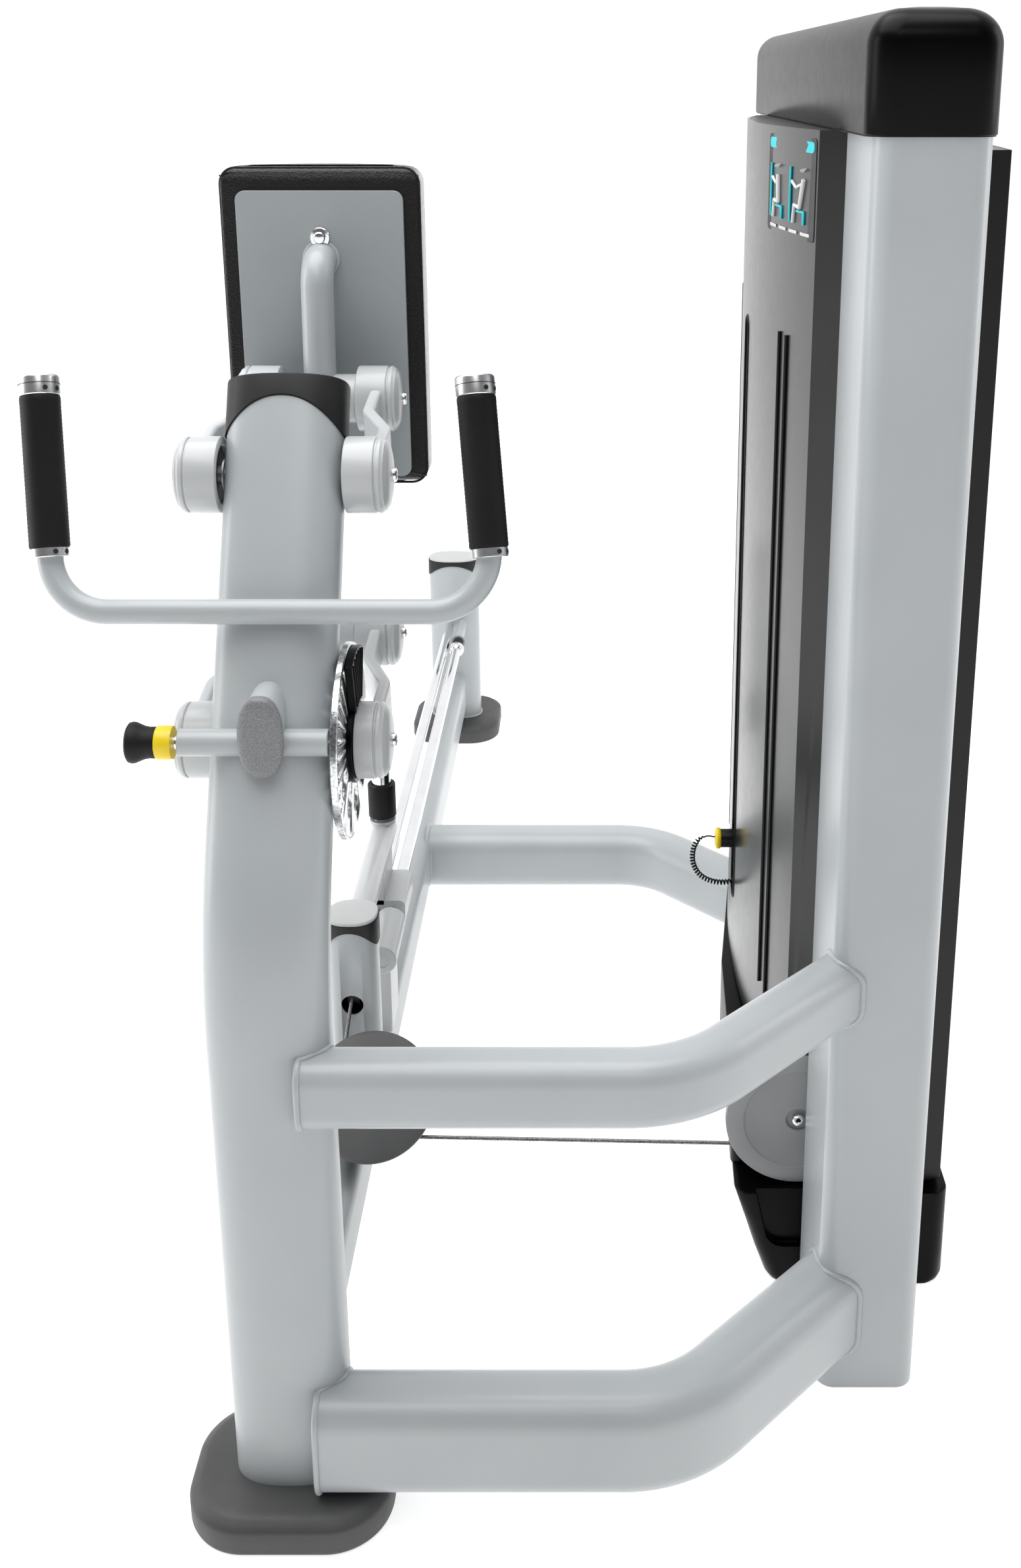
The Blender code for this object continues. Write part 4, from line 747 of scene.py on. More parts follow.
def build_posts():
    low, high = Vector((FRAME_X, REAR_POST_Y, COLUMN_BASE_Z)), Vector((FRAME_X, REAR_POST_Y, REAR_POST_TOP_Z))
    fix(solid("rear_post_tube", [low, high], X_AXIS, oval(*REAR_POST), "paint"), "frame_paint", "rear_post")
    build_post_cap("rear_post_top", "rear_post_cap", FRAME_X, REAR_POST_Y, REAR_POST, REAR_POST_TOP_Z)
    build_foot("rear_foot_moulding", "rear_post_foot", REAR_FOOT, REAR_FOOT_Y)
    build_foot("front_foot_moulding", "column_foot", FRONT_FOOT, FRONT_FOOT_Y)
    collar("rear_post_collar", Vector((FRAME_X, REAR_POST_Y, 0)), REAR_POST, FOOT_HEIGHT, 0.0025)
    low, high = Vector((FRONT_POST_X, FRONT_POST_Y, 0.11)), Vector((FRONT_POST_X, FRONT_POST_Y,
            FRONT_POST_TOP_Z))
    inner = oval(FRONT_POST[0] - 2 * WALL, FRONT_POST[1] - 2 * WALL)
    post = hollow("front_post_tube", [low, high], X_AXIS, oval(*FRONT_POST), inner, "paint")
    face_y = FRONT_POST_Y - FRONT_POST[1] / 2
    exit_z = ROLLER_CENTRE.z + ROLLER_PATH * sqrt(2) - (ROLLER_CENTRE.y - face_y)

    def pierced(tube, spare, material):
        middle = Vector((FRONT_POST_X, FRONT_POST_Y, 0))
        hole = rod("hole", (FRONT_POST_X, -0.7, exit_z), middle + Z_AXIS * exit_z, 0.015 - spare, material,
                48)
        slot_start = middle + Z_AXIS * CABLE_LEVEL_Z
        slot = rod("slot", slot_start, (FRONT_POST_X, -0.5, CABLE_LEVEL_Z), 0.008 - spare, material)
        return cut(tube, hole, slot)

    fix(pierced(post, 0, "paint"), "frame_paint", "front_post")
    # A dark sleeve just inside the post's wall: painted shade in its hollow, pierced like the post.
    inner_shade = hollow("front_post_inner_shade", [low + Z_AXIS * 0.05, high - Z_AXIS * 0.002], X_AXIS,
            scaled(inner, 0.995), scaled(inner, 0.97), "dark")
    fix(pierced(inner_shade, 0.0001, "dark"), "satin_plastic")
    build_post_cap("front_post_top", "front_post_cap", FRONT_POST_X, FRONT_POST_Y, FRONT_POST,
            FRONT_POST_TOP_Z)
    roller = turned("guide_roller", mm(6, -8, 19, -8, 17.2, -2, 17.2, 2, 19, 8, 6, 8), ROLLER_CENTRE,
            X_AXIS, "iron", 48)
    fix(roller, "satin_plastic")


def cross_tube(name, node, size, start_x, y, corner_x, target_y):
    depth, height, z = size
    path = rounded_path([(start_x, y, z), (corner_x, y, z), (TOWER_X, target_y, z)], CROSS_BEND, 24)
    section = rounded_rect(height, depth, min(depth, height) * 0.39, 12)
    tube = solid(name, path, Z_AXIS, section, "paint")
    fix(soften(tube, 0.005, 4, 60), "frame_paint", node)
    return section


def weld(name, surface, starts, direction, reach, radius=0.0034):
    """A painted bead where lines from the starts meet a surface."""
    tree = BVHTree.FromObject(surface, bpy.context.evaluated_depsgraph_get())
    points = []
    for start in starts:
        hit = tree.ray_cast(start, direction, reach)[0]
        points.append(hit if hit else start + direction * reach)
    fix(line(name, points, radius, "paint", True), "frame_paint")


def build_frame_tubes():
    rail_z = (RAIL_TOP_Z + RAIL_BASE_Z) / 2
    path = [Vector((FRAME_X, COLUMN_Y, rail_z)), Vector((FRAME_X, REAR_POST_Y, rail_z))]
    section = rounded_rect(RAIL_WIDTH, RAIL_TOP_Z - RAIL_BASE_Z, 0.022, 12)
    rail = solid("base_rail_tube", path, X_AXIS, section, "paint")
    fix(rail, "frame_paint", "base_rail")
    column = bpy.data.objects["main_column_tube"]
    post = bpy.data.objects["rear_post_tube"]
    weld("rail_column_weld", column, [Vector((FRAME_X + a, -0.9, rail_z + b)) for a, b in section], -Y_AXIS,
            0.3)
    weld("rail_post_weld", post, [Vector((FRAME_X + a, 0.9, rail_z + b)) for a, b in section], Y_AXIS, 0.3)
    uprights = {}
    for label, side in (("near", -1), ("far", 1)):
        y = TOWER_Y + side * UPRIGHT_SPREAD
        outer = shifted(rounded_rect(*UPRIGHT, 0.022, 12), TOWER_X, y)
        inner = shifted(rounded_rect(UPRIGHT[0] - 2 * WALL, UPRIGHT[1] - 2 * WALL, 0.019, 12), TOWER_X, y)
        rings = [[Vector((a, b, z)) for a, b in row] for row,
                z in ((outer, 0), (outer, UPRIGHT_HEIGHT), (inner, UPRIGHT_HEIGHT), (inner, 0))]
        uprights[label] = place(label + "_upright_tube", skin(rings, closed=True), "paint")
        fix(uprights[label], "frame_paint", label + "_upright")
    bend_y = FRONT_CROSS_Y + TOWER_X - CROSS_CORNER_X
    rear_y = REAR_CROSS_Y - TOWER_X + REAR_CROSS_CORNER_X
    tubes = (("lower_cross", LOWER_CROSS, FRONT_CROSS_START_X, FRONT_CROSS_Y, CROSS_CORNER_X, bend_y,
            column, "near"), ("mid_cross", MID_CROSS, FRONT_CROSS_START_X, FRONT_CROSS_Y, CROSS_CORNER_X,
            bend_y, column, "near"), ("rear_cross", REAR_CROSS, REAR_CROSS_START_X, REAR_CROSS_Y,
            REAR_CROSS_CORNER_X, rear_y, rail, "far"))
    for name, size, start_x, y, corner_x, target_y, start_piece, end_piece in tubes:
        row = cross_tube(name + "_shell", name + "_tube", size, start_x, y, corner_x, target_y)
        starts = [Vector((-0.1, y + b, size[2] + a)) for a, b in row]
        weld(name + "_start_weld", start_piece, starts, -X_AXIS, -0.1 - start_x - 0.003)
        towards = Vector((TOWER_X - corner_x, target_y - y, 0)).normalized()
        square = towards.cross(Z_AXIS)
        origin = Vector((TOWER_X, target_y, size[2])) - towards * 0.2
        starts = [origin + Z_AXIS * a + square * b for a, b in row]
        weld(name + "_end_weld", uprights[end_piece], starts, towards, 0.3, 0.004)


def build_handlebar():
    left, right = BAR_CENTRE - X_AXIS * BAR_HALF, BAR_CENTRE + X_AXIS * BAR_HALF
    rise = ARM_DIRECTION
    corners = [left + rise * (ARM_LENGTH - 0.004), left, right, right + rise * (ARM_LENGTH - 0.004)]
    bar = solid("handlebar_tube", rounded_path(corners, BAR_BEND, 20), X_AXIS.cross(rise),
            circle(BAR_RADIUS, 40), "paint")
    fix(bar, "frame_paint", "handlebar")
    for label, foot_point in (("left", left), ("right", right)):
        build_grip(label, foot_point, rise)


def build_grip(label, foot_point, rise):
    start, end = GRIP_START, GRIP_START + GRIP_LENGTH
    profile = [(BAR_RADIUS, start), (GRIP_RADIUS - 0.0022, start), (GRIP_RADIUS - 0.0006, start + 0.0006),
            (GRIP_RADIUS, start + 0.0022)]
    rows = 34
    for i in range(1, rows):
        s = start + 0.004 + (GRIP_LENGTH - 0.008) * i / rows
        profile += [(GRIP_RADIUS - 0.0003, s - 0.0008), (GRIP_RADIUS, s)]
    profile += [(GRIP_RADIUS, end - 0.0022), (GRIP_RADIUS - 0.0006, end - 0.0006),
            (GRIP_RADIUS - 0.0022, end), (BAR_RADIUS, end)]
    grip = turned("grip_%s_rubber" % label, profile, foot_point, rise, "rubber", 56, closed=True)
    fix(grip, "grip_rubber", "grip_" + label)
    ring = [(BAR_RADIUS, start - 0.01), (0.019, start - 0.01), (0.0197, start - 0.0093),
            (0.0197, start - 0.0007), (0.019, start), (BAR_RADIUS, start)]
    fix(turned("grip_%s_lower_collar" % label, ring, foot_point, rise, "silver", 56, closed=True), "steel")
    top = [(BAR_RADIUS, end), (0.0203, end), (0.021, end + 0.0008), (0.021, end + 0.018),
            (0.0206, end + 0.0198), (0.0194, end + 0.0211), (0.015, end + 0.0217), (0.008, end + 0.0219),
            (0.001, end + 0.022)]
    fix(turned("grip_%s_end_cap" % label, top, foot_point, rise, "silver", 56), "steel")
    # A dark ring round the end cap: painted shade for a groove.
    groove = [foot_point + rise * (end + 0.0118) + Vector(p) for p in ring_offsets(rise, 0.0208, 56)]
    fix(line("grip_%s_cap_groove_shade" % label, groove, 0.0005, "dark", True), "steel")
    _, u, v = basis(rise)
    for i, angle in enumerate((215, 255)):
        out = (u * cos(radians(angle)) + v * sin(radians(angle))).normalized()
        for j, (s, radius) in enumerate(((start - 0.005, 0.0192), (end + 0.006, 0.0205))):
            at = foot_point + rise * s + out * radius
            fix(rod("grip_%s_set_screw_%d" % (label, 2 * i + j), at, at + out * 0.001, 0.0026, "dark", 16),
                    "steel")


def ring_offsets(axis, radius, steps):
    _, u, v = basis(axis)
    return [u * a + v * b for a, b in circle(radius, steps)]


# Pull pin


def build_pin_housing():
    left, right = Vector((-0.36, PIN_AXIS_Y, PIN_AXIS_Z)), Vector((-0.2068, PIN_AXIS_Y, PIN_AXIS_Z))
    fix(soften(rod("pin_tube", left, right, 0.014, "paint", 48), 0.0012, 3), "frame_paint", "pin_housing")
    stub = prism("pin_stub", shifted(oval(0.04, 0.08), FRAME_X, HOUSING_CAP_Z), "Y", HOUSING_FACE_Y, -1.0,
            "paint")
    fix(stub, "frame_paint")
    rings = []
    for depth, inset in mm(0, 0.6, 0.8, 0, 6, 0, 8.5, 0.8, 10.5, 2.8, 12, 6.5, 12.7, 11, 13, 17, 13.1, 22.2):
        section = oval(0.046 - 2 * inset, 0.087 - 2 * inset, 80)
        rings.append([Vector((FRAME_X + a, HOUSING_FACE_Y - depth, HOUSING_CAP_Z + b)) for a, b in section])
    fix(place("oval_stub_cap", skin(rings), "speckle"), "cap_plastic", "housing_cap")


def build_pull_pin():
    at = Vector((-0.413, PIN_AXIS_Y, PIN_AXIS_Z))
    knob = mm(1, 0.2, 12, 0.2, 17.5, 1, 20.5, 3, 21.4, 6, 21, 9.5, 19, 14, 17, 19, 16.2, 24, 16.4, 28.5,
            15.8, 30.3, 10, 30.5)
    give(turned("pull_knob_moulding", knob, at, X_AXIS, "rubber", 56), "pull_pin", "grip_rubber", "pull_knob")
    ring = mm(8, 30.5, 16, 30.5, 17.2, 31.5, 17.5, 34, 17.5, 46, 16.8, 47.5, 8, 48)
    give(turned("pull_knob_yellow_ring", ring, at, X_AXIS, "yellow", 56), "pull_pin", "grip_rubber")
    pin = mm(7.5, 30, 7.5, 52, 7, 52.5, 4, 52.5, 4, 205, 3, 207.2)
    give(turned("plunger_pin", pin, at, X_AXIS, "chrome", 40), "pull_pin", "chrome", "plunger")


# Pad arm


def boss_profile(radius, depth, recess):
    """A drum with a ring groove and a stepped, domed cap."""
    start = mm(11.5, 26, 32, 26, 32, 0.8, 32.8, 0) if recess else [(0.0115, 0)]
    body = depth - 0.0175
    return start + [(radius - 0.002, 0), (radius - 0.0004, 0.0008), (radius, 0.0024),
            (radius, body - 0.0012), (radius - 0.0006, body - 0.0004), (radius - 0.0022, body),
            (radius - 0.0022, body + 0.0016), (radius - 0.0008, body + 0.0018),
            (radius - 0.0002, body + 0.003), (radius - 0.0006, body + 0.006),
            (radius - 0.003, body + 0.0085), (radius - 0.0034, body + 0.01),
            (radius - 0.0048, body + 0.0106), (radius * 0.8, body + 0.0132), (radius * 0.6, body + 0.0152),
            (radius * 0.4, body + 0.0163), (radius * 0.2, body + 0.0168), (0.001, body + 0.017)]


def build_link(level, label, near, side, body):
    along = LINK.normalized()
    out = X_AXIS * side
    far = near + LINK
    by_disc = level == "lower" and side > 0
    inner = DISC_SIDE_BOSS_INNER if by_disc else BOSS_INNER
    name = "link_%s_%s" % (level, label)
    boss = turned(name + "_drum", boss_profile(BOSS_RADIUS, BOSS_OUTER - inner, not by_disc),
            near + out * inner, out, "cast_paint", 80)
    give(boss, body, "frame_paint", name)
    depth = FAR_BOSS_OUTER - FAR_BOSS_INNER
    far_boss = turned(name + "_far_drum", boss_profile(FAR_BOSS_RADIUS, depth, False),
            far + out * FAR_BOSS_INNER, out, "cast_paint", 80)
    give(far_boss, body, "frame_paint")
    stations = ((0.012, 0.096), (0.092, 0.098), (0.15, 0.072), (LINK.length - 0.01, 0.072))
    path = rounded_path([near + along * s + out * offset for s, offset in stations], 0.03, 12)
    arm = solid(name + "_arm", path, along.cross(out), rounded_rect(0.044, 0.014, 0.0045, 6), "cast_paint")
    give(arm, body, "frame_paint")
    if not by_disc:
        liner = turned(name + "_liner", mm(11.5, 25.5, 31.8, 25.5, 31.8, 4), near + out * inner, out,
                "iron", 48)
        give(liner, body, "frame_paint")
    for suffix, centre, reach in (("near", near, BOSS_OUTER), ("far", far, FAR_BOSS_OUTER)):
        socket_screw("%s_%s_screw" % (name, suffix), centre + out * (reach - 0.0012), out, 0.008, body)


def build_disc():
    x0, x1 = DISC_FACES
    hole = 0.0114
    profile = [(hole, x0), (DISC_RADIUS - 0.0012, x0), (DISC_RADIUS, x0 + 0.0012),
            (DISC_RADIUS, x1 - 0.0012), (DISC_RADIUS - 0.0012, x1), (hole, x1)]
    disc = turned("index_disc_plate", profile, LOWER_PIVOT, X_AXIS, "disc_chrome", 144, closed=True)
    to_pin = Vector((0, PIN_AXIS_Y - LOWER_PIVOT.y, PIN_AXIS_Z - LOWER_PIVOT.z))
    across = X_AXIS.cross(to_pin)
    tools = []
    for i in range(-4, 5):
        angle = i * DISC_HOLE_STEP
        spot = LOWER_PIVOT + (to_pin * cos(angle) + across * sin(angle)) * DISC_HOLE_RING / to_pin.length
        tools.append(rod("tool", spot, spot + X_AXIS * 0.2, 0.0048, "steel", 24))
    for i in range(4):
        angle = radians(200 + 36 * i)
        spot = LOWER_PIVOT + (Y_AXIS * cos(angle) + Z_AXIS * sin(angle)) * 0.07
        tools.append(rod("tool", spot, spot + X_AXIS * 0.2, 0.016, "steel", 40))
    give(cut(disc, *tools), "lower_links", "chrome", "index_disc")
    face = DISC_FACES[1] + 0.0002
    hub = turned("disc_hub_ring", [(hole, face), (0.0455, face), (0.046, face + 0.0006), (0.046, 0.0786),
            (0.0454, 0.0792), (hole, 0.0792)], LOWER_PIVOT, X_AXIS, "gloss", 72, closed=True)
    give(hub, "lower_links", "gloss_plastic", "disc_hub")
    outline = []
    for radius, angles in ((0.044, range(118, 61, -4)), (0.103, range(66, 113, 3))):
        outline += [(LOWER_PIVOT.y + radius * cos(radians(a)), LOWER_PIVOT.z + radius * sin(radians(a)))
                for a in angles]
    wedge = prism("disc_wedge", outline, "X", FRAME_X + face, FRAME_X + 0.082, "gloss")
    give(soften(wedge, 0.0012, 3), "lower_links", "gloss_plastic")
    for i, angle in enumerate((68, 75.5, 83, 90.5, 98, 105.5)):
        out = Y_AXIS * cos(radians(angle + 1.5)) + Z_AXIS * sin(radians(angle + 1.5))
        rib = [LOWER_PIVOT + X_AXIS * 0.082 + out * r for r in (0.047, 0.07, 0.1)]
        give(line("disc_wedge_rib_%d" % (i + 1), rib, 0.0016, "gloss"), "lower_links", "gloss_plastic")


def build_pad_carrier():
    top, bottom = UPPER_PIVOT + LINK, LOWER_PIVOT + LINK
    bar = solid("pad_upright_bar", [bottom, top], X_AXIS, rounded_rect(0.044, 0.046, 0.01, 8), "paint")
    give(bar, "pad_carrier", "frame_paint", "pad_upright")
    corners = [top - Z_AXIS * 0.004, Vector((FRAME_X, -0.604, 1.318)),
            Vector((FRAME_X, PAD_PLATE_Y - 0.003, 1.318))]
    tube = solid("pad_tube_elbow", rounded_path(corners, 0.034, 20), X_AXIS, circle(PAD_TUBE_RADIUS, 48),
            "paint")
    give(tube, "pad_carrier", "frame_paint")
    weld_ring = [Vector((FRAME_X + a, PAD_PLATE_Y - 0.004, 1.318 + b)) for a,
            b in circle(PAD_TUBE_RADIUS + 0.0008, 48)]
    give(line("pad_tube_weld", weld_ring, 0.0026, "paint", True), "pad_carrier", "frame_paint")
    for label, pivot in (("upper", top), ("lower", bottom)):
        hub, shaft = X_AXIS * 0.046, X_AXIS * 0.095
        give(soften(rod(label + "_far_hub", pivot - hub, pivot + hub, 0.03, "cast_paint", 56), 0.0016, 3),
                "pad_carrier", "frame_paint")
        give(rod(label + "_far_shaft", pivot - shaft, pivot + shaft, 0.0108, "steel"), "pad_carrier",
                "frame_paint")
    width, height, thickness = PAD_PLATE
    outline = shifted(rounded_rect(width, height, 0.012, 10), FRAME_X, PAD_PLATE_LOW_Z + height / 2)
    plate = prism("pad_back_plate", outline, "Y", PAD_PLATE_Y - thickness / 2, PAD_PLATE_Y + thickness / 2,
            "plate_paint")
    give(soften(plate, 0.0008, 2), "pad_carrier", "frame_paint", "pad_plate")
    bolt = mm(2, 11.5, 6, 11.2, 7.2, 10, 7.2, 5.2, 11.5, 5, 12.2, 4.2, 12.2, 0)
    face = Vector((FRAME_X, PAD_PLATE_Y - thickness / 2, 1.344))
    give(turned("pad_plate_bolt", list(reversed(bolt)), face, -Y_AXIS, "chrome", 48), "pad_carrier", "steel")
    build_pad(PAD_PLATE_Y + thickness / 2 + 0.0002)


def pad_outline(inset, steps=48):
    """The cushion in plan, with the points spread over a flat front, round edges and a crowned back."""
    half = PAD_WIDTH / 2 - inset
    points = [(-half + 0.006 * (1 - cos(radians(t))), 0.006 - 0.006 * sin(radians(t)) + inset)
            for t in range(0, 91, 15)]
    points += [(half - 0.006 * (1 - sin(radians(t))), 0.006 - 0.006 * cos(radians(t)) + inset)
            for t in range(0, 91, 15)]
    for i in range(steps + 1):
        t = 1 - 2 * i / steps
        rise = (1 - abs(t) ** 14) * 0.01 - 0.01
        points.append((t * half, PAD_EDGE - inset + rise + (PAD_CROWN - PAD_EDGE) * (1 - t * t)))
    return points


def build_pad(face_y):
    low, high = PAD_Z
    round_radius = 0.02
    turns = [radians(90 * i / 8) for i in range(9)]
    levels = [(0.034, -0.0006)] + [(round_radius * (1 - sin(a)), round_radius * (1 - cos(a))) for a in turns]
    rings = [(low + rise, inset) for inset, rise in levels]
    middle = 26
    for i in range(1, middle):
        rings.append((low + round_radius + (high - low - 2 * round_radius) * i / middle, 0))
    rings += [(high - drop, inset) for inset, drop in reversed(levels)]
    loops = []
    for z, inset in rings:
        swell = 0.0016 * sin(pi * min(max((z - low) / (high - low), 0), 1))
        loop = []
        for a, b in pad_outline(max(inset, 0)):
            stir = noise.noise(Vector((a * 16, b * 16, z * 16))) * 0.0006
            loop.append(Vector((FRAME_X + a * (1 + swell * 2),
                    face_y + b + (swell + stir if b > 0.02 else 0), z)))
        loops.append(loop)
    pad = place("pad_cushion", skin(loops), "leather", 60)
    give(pad, "pad_carrier", "pad_leather", "pad")
    width, height, _ = PAD_PLATE
    y = face_y + 0.0004
    for side in (-1, 1):
        x0, x1 = FRAME_X + side * (width / 2 - 0.002), FRAME_X + side * (PAD_WIDTH / 2 - 0.0015)
        for label, z0, z1 in (("low", PAD_PLATE_LOW_Z + 0.004, low + 0.01),
                ("high", PAD_PLATE_LOW_Z + height - 0.004, high - 0.01)):
            seam = line("pad_seam_%s_%d" % (label, side + 1),
                    [Vector((x0, y, z0)), Vector((x1, y + 0.002, z1))], 0.0011, "leather")
            give(seam, "pad_carrier", "pad_leather")
    edge = [Vector((FRAME_X + a, y + 0.0035, (low + high) / 2 + b)) for a,
            b in rounded_rect(PAD_WIDTH - 0.002, high - low - 0.002, 0.02, 10)]
    give(line("pad_piping", edge, 0.0016, "leather", True), "pad_carrier", "pad_leather")


# Rods and carriage


def build_rods():
    left_x, right_x = FRONT_POST_X - ROD_HALF_SPREAD, FRONT_POST_X + ROD_HALF_SPREAD
    start_y = FRONT_POST_Y + FRONT_POST[1] / 2 - 0.002
    left = rod("left_rod_bar", (left_x, start_y, ROD_Z), (left_x, REAR_POST_Y - 0.035, ROD_Z), ROD_RADIUS,
            "chrome", 40)
    fix(left, "chrome", "guide_rod_left")
    ball = [(ROD_RADIUS, 0), (ROD_RADIUS, 1.2715), (0.0128, 1.2728), (0.015, 1.2758), (0.0163, 1.28),
            (0.0168, 1.2855), (0.0164, 1.2905), (0.0152, 1.295), (0.0132, 1.299), (0.011, 1.302)]
    fix(turned("right_rod_bar", ball, (right_x, -0.433, ROD_Z), Y_AXIS, "chrome", 40), "chrome",
            "guide_rod_right")
    ring_y = -0.433 + 1.302
    profile = mm(11, 0.2, 12, 0.2, 12.5, 1.5, 12.5, 30, 12, 31.6, 11, 31.6)
    fix(turned("rod_stop_rubber", profile, (right_x, ring_y, ROD_Z), Y_AXIS, "rubber", 40), "foot_rubber",
            "rod_bumper")
    stub = mm(16.5, 0, 16.5, 3.5, 10.3, 4.5, 10.3, 140)
    fix(turned("rod_stub_tube", stub, (right_x, 0.901, ROD_Z), Y_AXIS, "paint", 40), "frame_paint")
    boss_y, length = -0.463, 0.118
    drum = [(0.0008, 0.0018), (0.012, 0.0018), (0.0124, 0.0004), (0.013, 0), (0.0212, 0), (0.0225, 0.0013),
            (0.0225, length - 0.0013), (0.0212, length), (0.0106, length)]
    fix(turned("rod_boss_drum", drum, (right_x, boss_y, ROD_Z), Y_AXIS, "cast_paint", 56), "frame_paint",
            "rod_boss")
    low, high = (right_x - 0.014, boss_y + 0.02, RAIL_TOP_Z - 0.004), (right_x + 0.01,
            boss_y + length - 0.02, ROD_Z - 0.014)
    fix(soften(box("rod_boss_foot", low, high, "cast_paint"), 0.003, 3), "frame_paint")


def build_carriage():
    x = CARRIAGE_TUBE_X
    tube = mm(1, 0.6, 15, 0.6, 15.8, 0, 17.8, 0, 19.2, 1.4, 19.25, 3, 19.25, 315, 18, 317, 1, 317.2)
    give(turned("carriage_tube", tube, (x, -0.545, CARRIAGE_TUBE_Z), Y_AXIS, "cast_paint", 56), "carriage",
            "frame_paint", "carriage_frame")
    block = prism("carriage_slider", shifted(rounded_rect(0.068, 0.044, 0.01, 8), FRONT_POST_X, ROD_Z), "Y",
            -0.325, -0.225, "cast_paint")
    for side in (-1, 1):
        rod_x = FRONT_POST_X + side * ROD_HALF_SPREAD
        bore = rod("bore", (rod_x, -0.5, ROD_Z), (rod_x, 0, ROD_Z), ROD_RADIUS + 0.0005, "steel", 32)
        cut(block, bore)
    give(soften(block, 0.0014, 3, 50), "carriage", "frame_paint")
    web = box("carriage_web_plate", (FRONT_POST_X - 0.015, -0.325, 0.295),
            (FRONT_POST_X + 0.003, -0.225, 0.38), "cast_paint")
    give(soften(web, 0.0015, 2), "carriage", "frame_paint")
    low = (x, CARRIAGE_POST_Y, CARRIAGE_TUBE_Z)
    post = mm(15, 0, 15, 115.5, 14.2, 116.6, 12, 117, 1, 117)
    give(turned("carriage_chrome_post", post, low, Z_AXIS, "chrome", 48), "carriage", "chrome",
            "carriage_post")
    sleeve = mm(15, 0, 20.8, 0, 21.6, 1, 21.6, 53.2, 20.8, 54.5, 16.5, 54.5, 15, 53)
    give(turned("carriage_sleeve", sleeve, (x, CARRIAGE_POST_Y, 0.412), Z_AXIS, "rubber", 56, closed=True),
            "carriage", "foot_rubber", "post_sleeve")
    nut = turned("carriage_post_nut", mm(15, 0, 20.5, 0, 20.5, 6, 15, 6.5),
            (x, CARRIAGE_POST_Y, CARRIAGE_TUBE_Z + 0.0175), Z_AXIS, "cast_paint", 40, closed=True)
    give(nut, "carriage", "frame_paint")


# Weight tower


def crowned_line(edge, middle, half, steps=40):
    """The swelling side of a shroud in plan, from its near to its far end."""
    y0, y1 = TOWER_Y - half, TOWER_Y + half
    points = []
    for i in range(steps + 1):
        t = i / steps
        points.append((edge + (middle - edge) * (1 - (2 * t - 1) ** 2), y0 + (y1 - y0) * (0.02 + 0.96 * t)))
    return points


def shell_outline(wall, edge, middle, half, thickness=0.0035):
    """A C in plan: the outer line, then the inner one back."""
    side = copysign(1, middle - edge)
    outer = shroud_lid(wall, edge, middle, half)
    inner = shroud_lid(wall, edge - side * thickness, middle - side * thickness, half - thickness)
    return outer + list(reversed(inner))


def shroud_lid(wall, edge, middle, half):
    return [(wall, TOWER_Y - half)] + crowned_line(edge, middle, half) + [(wall, TOWER_Y + half)]


def build_shrouds():
    left_x, right_x = TOWER_X - UPRIGHT[0] / 2 - 0.001, TOWER_X + UPRIGHT[0] / 2 + 0.001
    half = BAY_HALF - 0.0015
    front = prism("slotted_shroud", shell_outline(left_x + 0.012, SHROUD_EDGE, SHROUD_MIDDLE, half), "Z",
            FRONT_SHROUD_BASE_Z, UPRIGHT_HEIGHT - 0.0007, "shroud")
    start = TOWER_SHEAVE_CENTRE - Y_AXIS * 0.1
    cut(front, rod("tool", start, TOWER_SHEAVE_CENTRE - Y_AXIS * 0.0095, 0.0975, "satin", 72),
            rod("tool", start, TOWER_SHEAVE_CENTRE + Y_AXIS * 0.0095, 0.06, "satin", 72))
    slot = rounded_rect(2 * SLOT_HALF, SLOT_HIGH_Z - SLOT_LOW_Z, SLOT_HALF * 0.98, 12)
    cut(front, prism("tool", shifted(slot, TOWER_Y, (SLOT_HIGH_Z + SLOT_LOW_Z) / 2), "X", 0.2, 0.36, "satin"))
    fix(soften(front, 0.0008, 2), "satin_plastic", "front_shroud")
    lid = shroud_lid(left_x + 0.012, SHROUD_EDGE + 0.0025, SHROUD_MIDDLE + 0.0025, half - 0.002)
    fix(prism("slotted_shroud_lid", lid, "Z", UPRIGHT_HEIGHT - 0.0045, UPRIGHT_HEIGHT - 0.001, "satin"),
            "satin_plastic")
    rim = [Vector((0.2697, TOWER_Y + a, (SLOT_HIGH_Z + SLOT_LOW_Z) / 2 + b)) for a,
            b in rounded_rect(2 * SLOT_HALF + 0.002, SLOT_HIGH_Z - SLOT_LOW_Z + 0.002, SLOT_HALF, 12)]
    fix(line("slot_rim", rim, 0.0011, "satin", True), "satin_plastic")
    half = BAY_HALF + 0.009
    rear = prism("rear_shroud_shell", shell_outline(right_x, REAR_SHROUD_EDGE, REAR_SHROUD_MIDDLE, half),
            "Z", REAR_SHROUD_BASE_Z, 1.457, "satin")
    fix(soften(rear, 0.0008, 2), "satin_plastic", "rear_shroud")
    lid = shroud_lid(right_x, REAR_SHROUD_EDGE - 0.0025, REAR_SHROUD_MIDDLE - 0.0025, half - 0.002)
    fix(prism("rear_shroud_lid", lid, "Z", 1.4535, 1.4565, "satin"), "satin_plastic")
    for side in (-1, 1):
        for j, reach in enumerate((0.62, 0.7)):
            y = TOWER_Y + side * half * reach
            rib = [Vector((crown_x(y, half) - 0.0003, y, z)) for z in (0.36, 0.9, 1.24)]
            fix(line("shroud_rib_%d_%d" % (side + 1, j), rib, 0.0022, "satin"), "satin_plastic")


def crown_x(y, half):
    t = ((y - (TOWER_Y - half)) / (2 * half) - 0.02) / 0.96
    return SHROUD_EDGE + (SHROUD_MIDDLE - SHROUD_EDGE) * (1 - (2 * t - 1) ** 2)


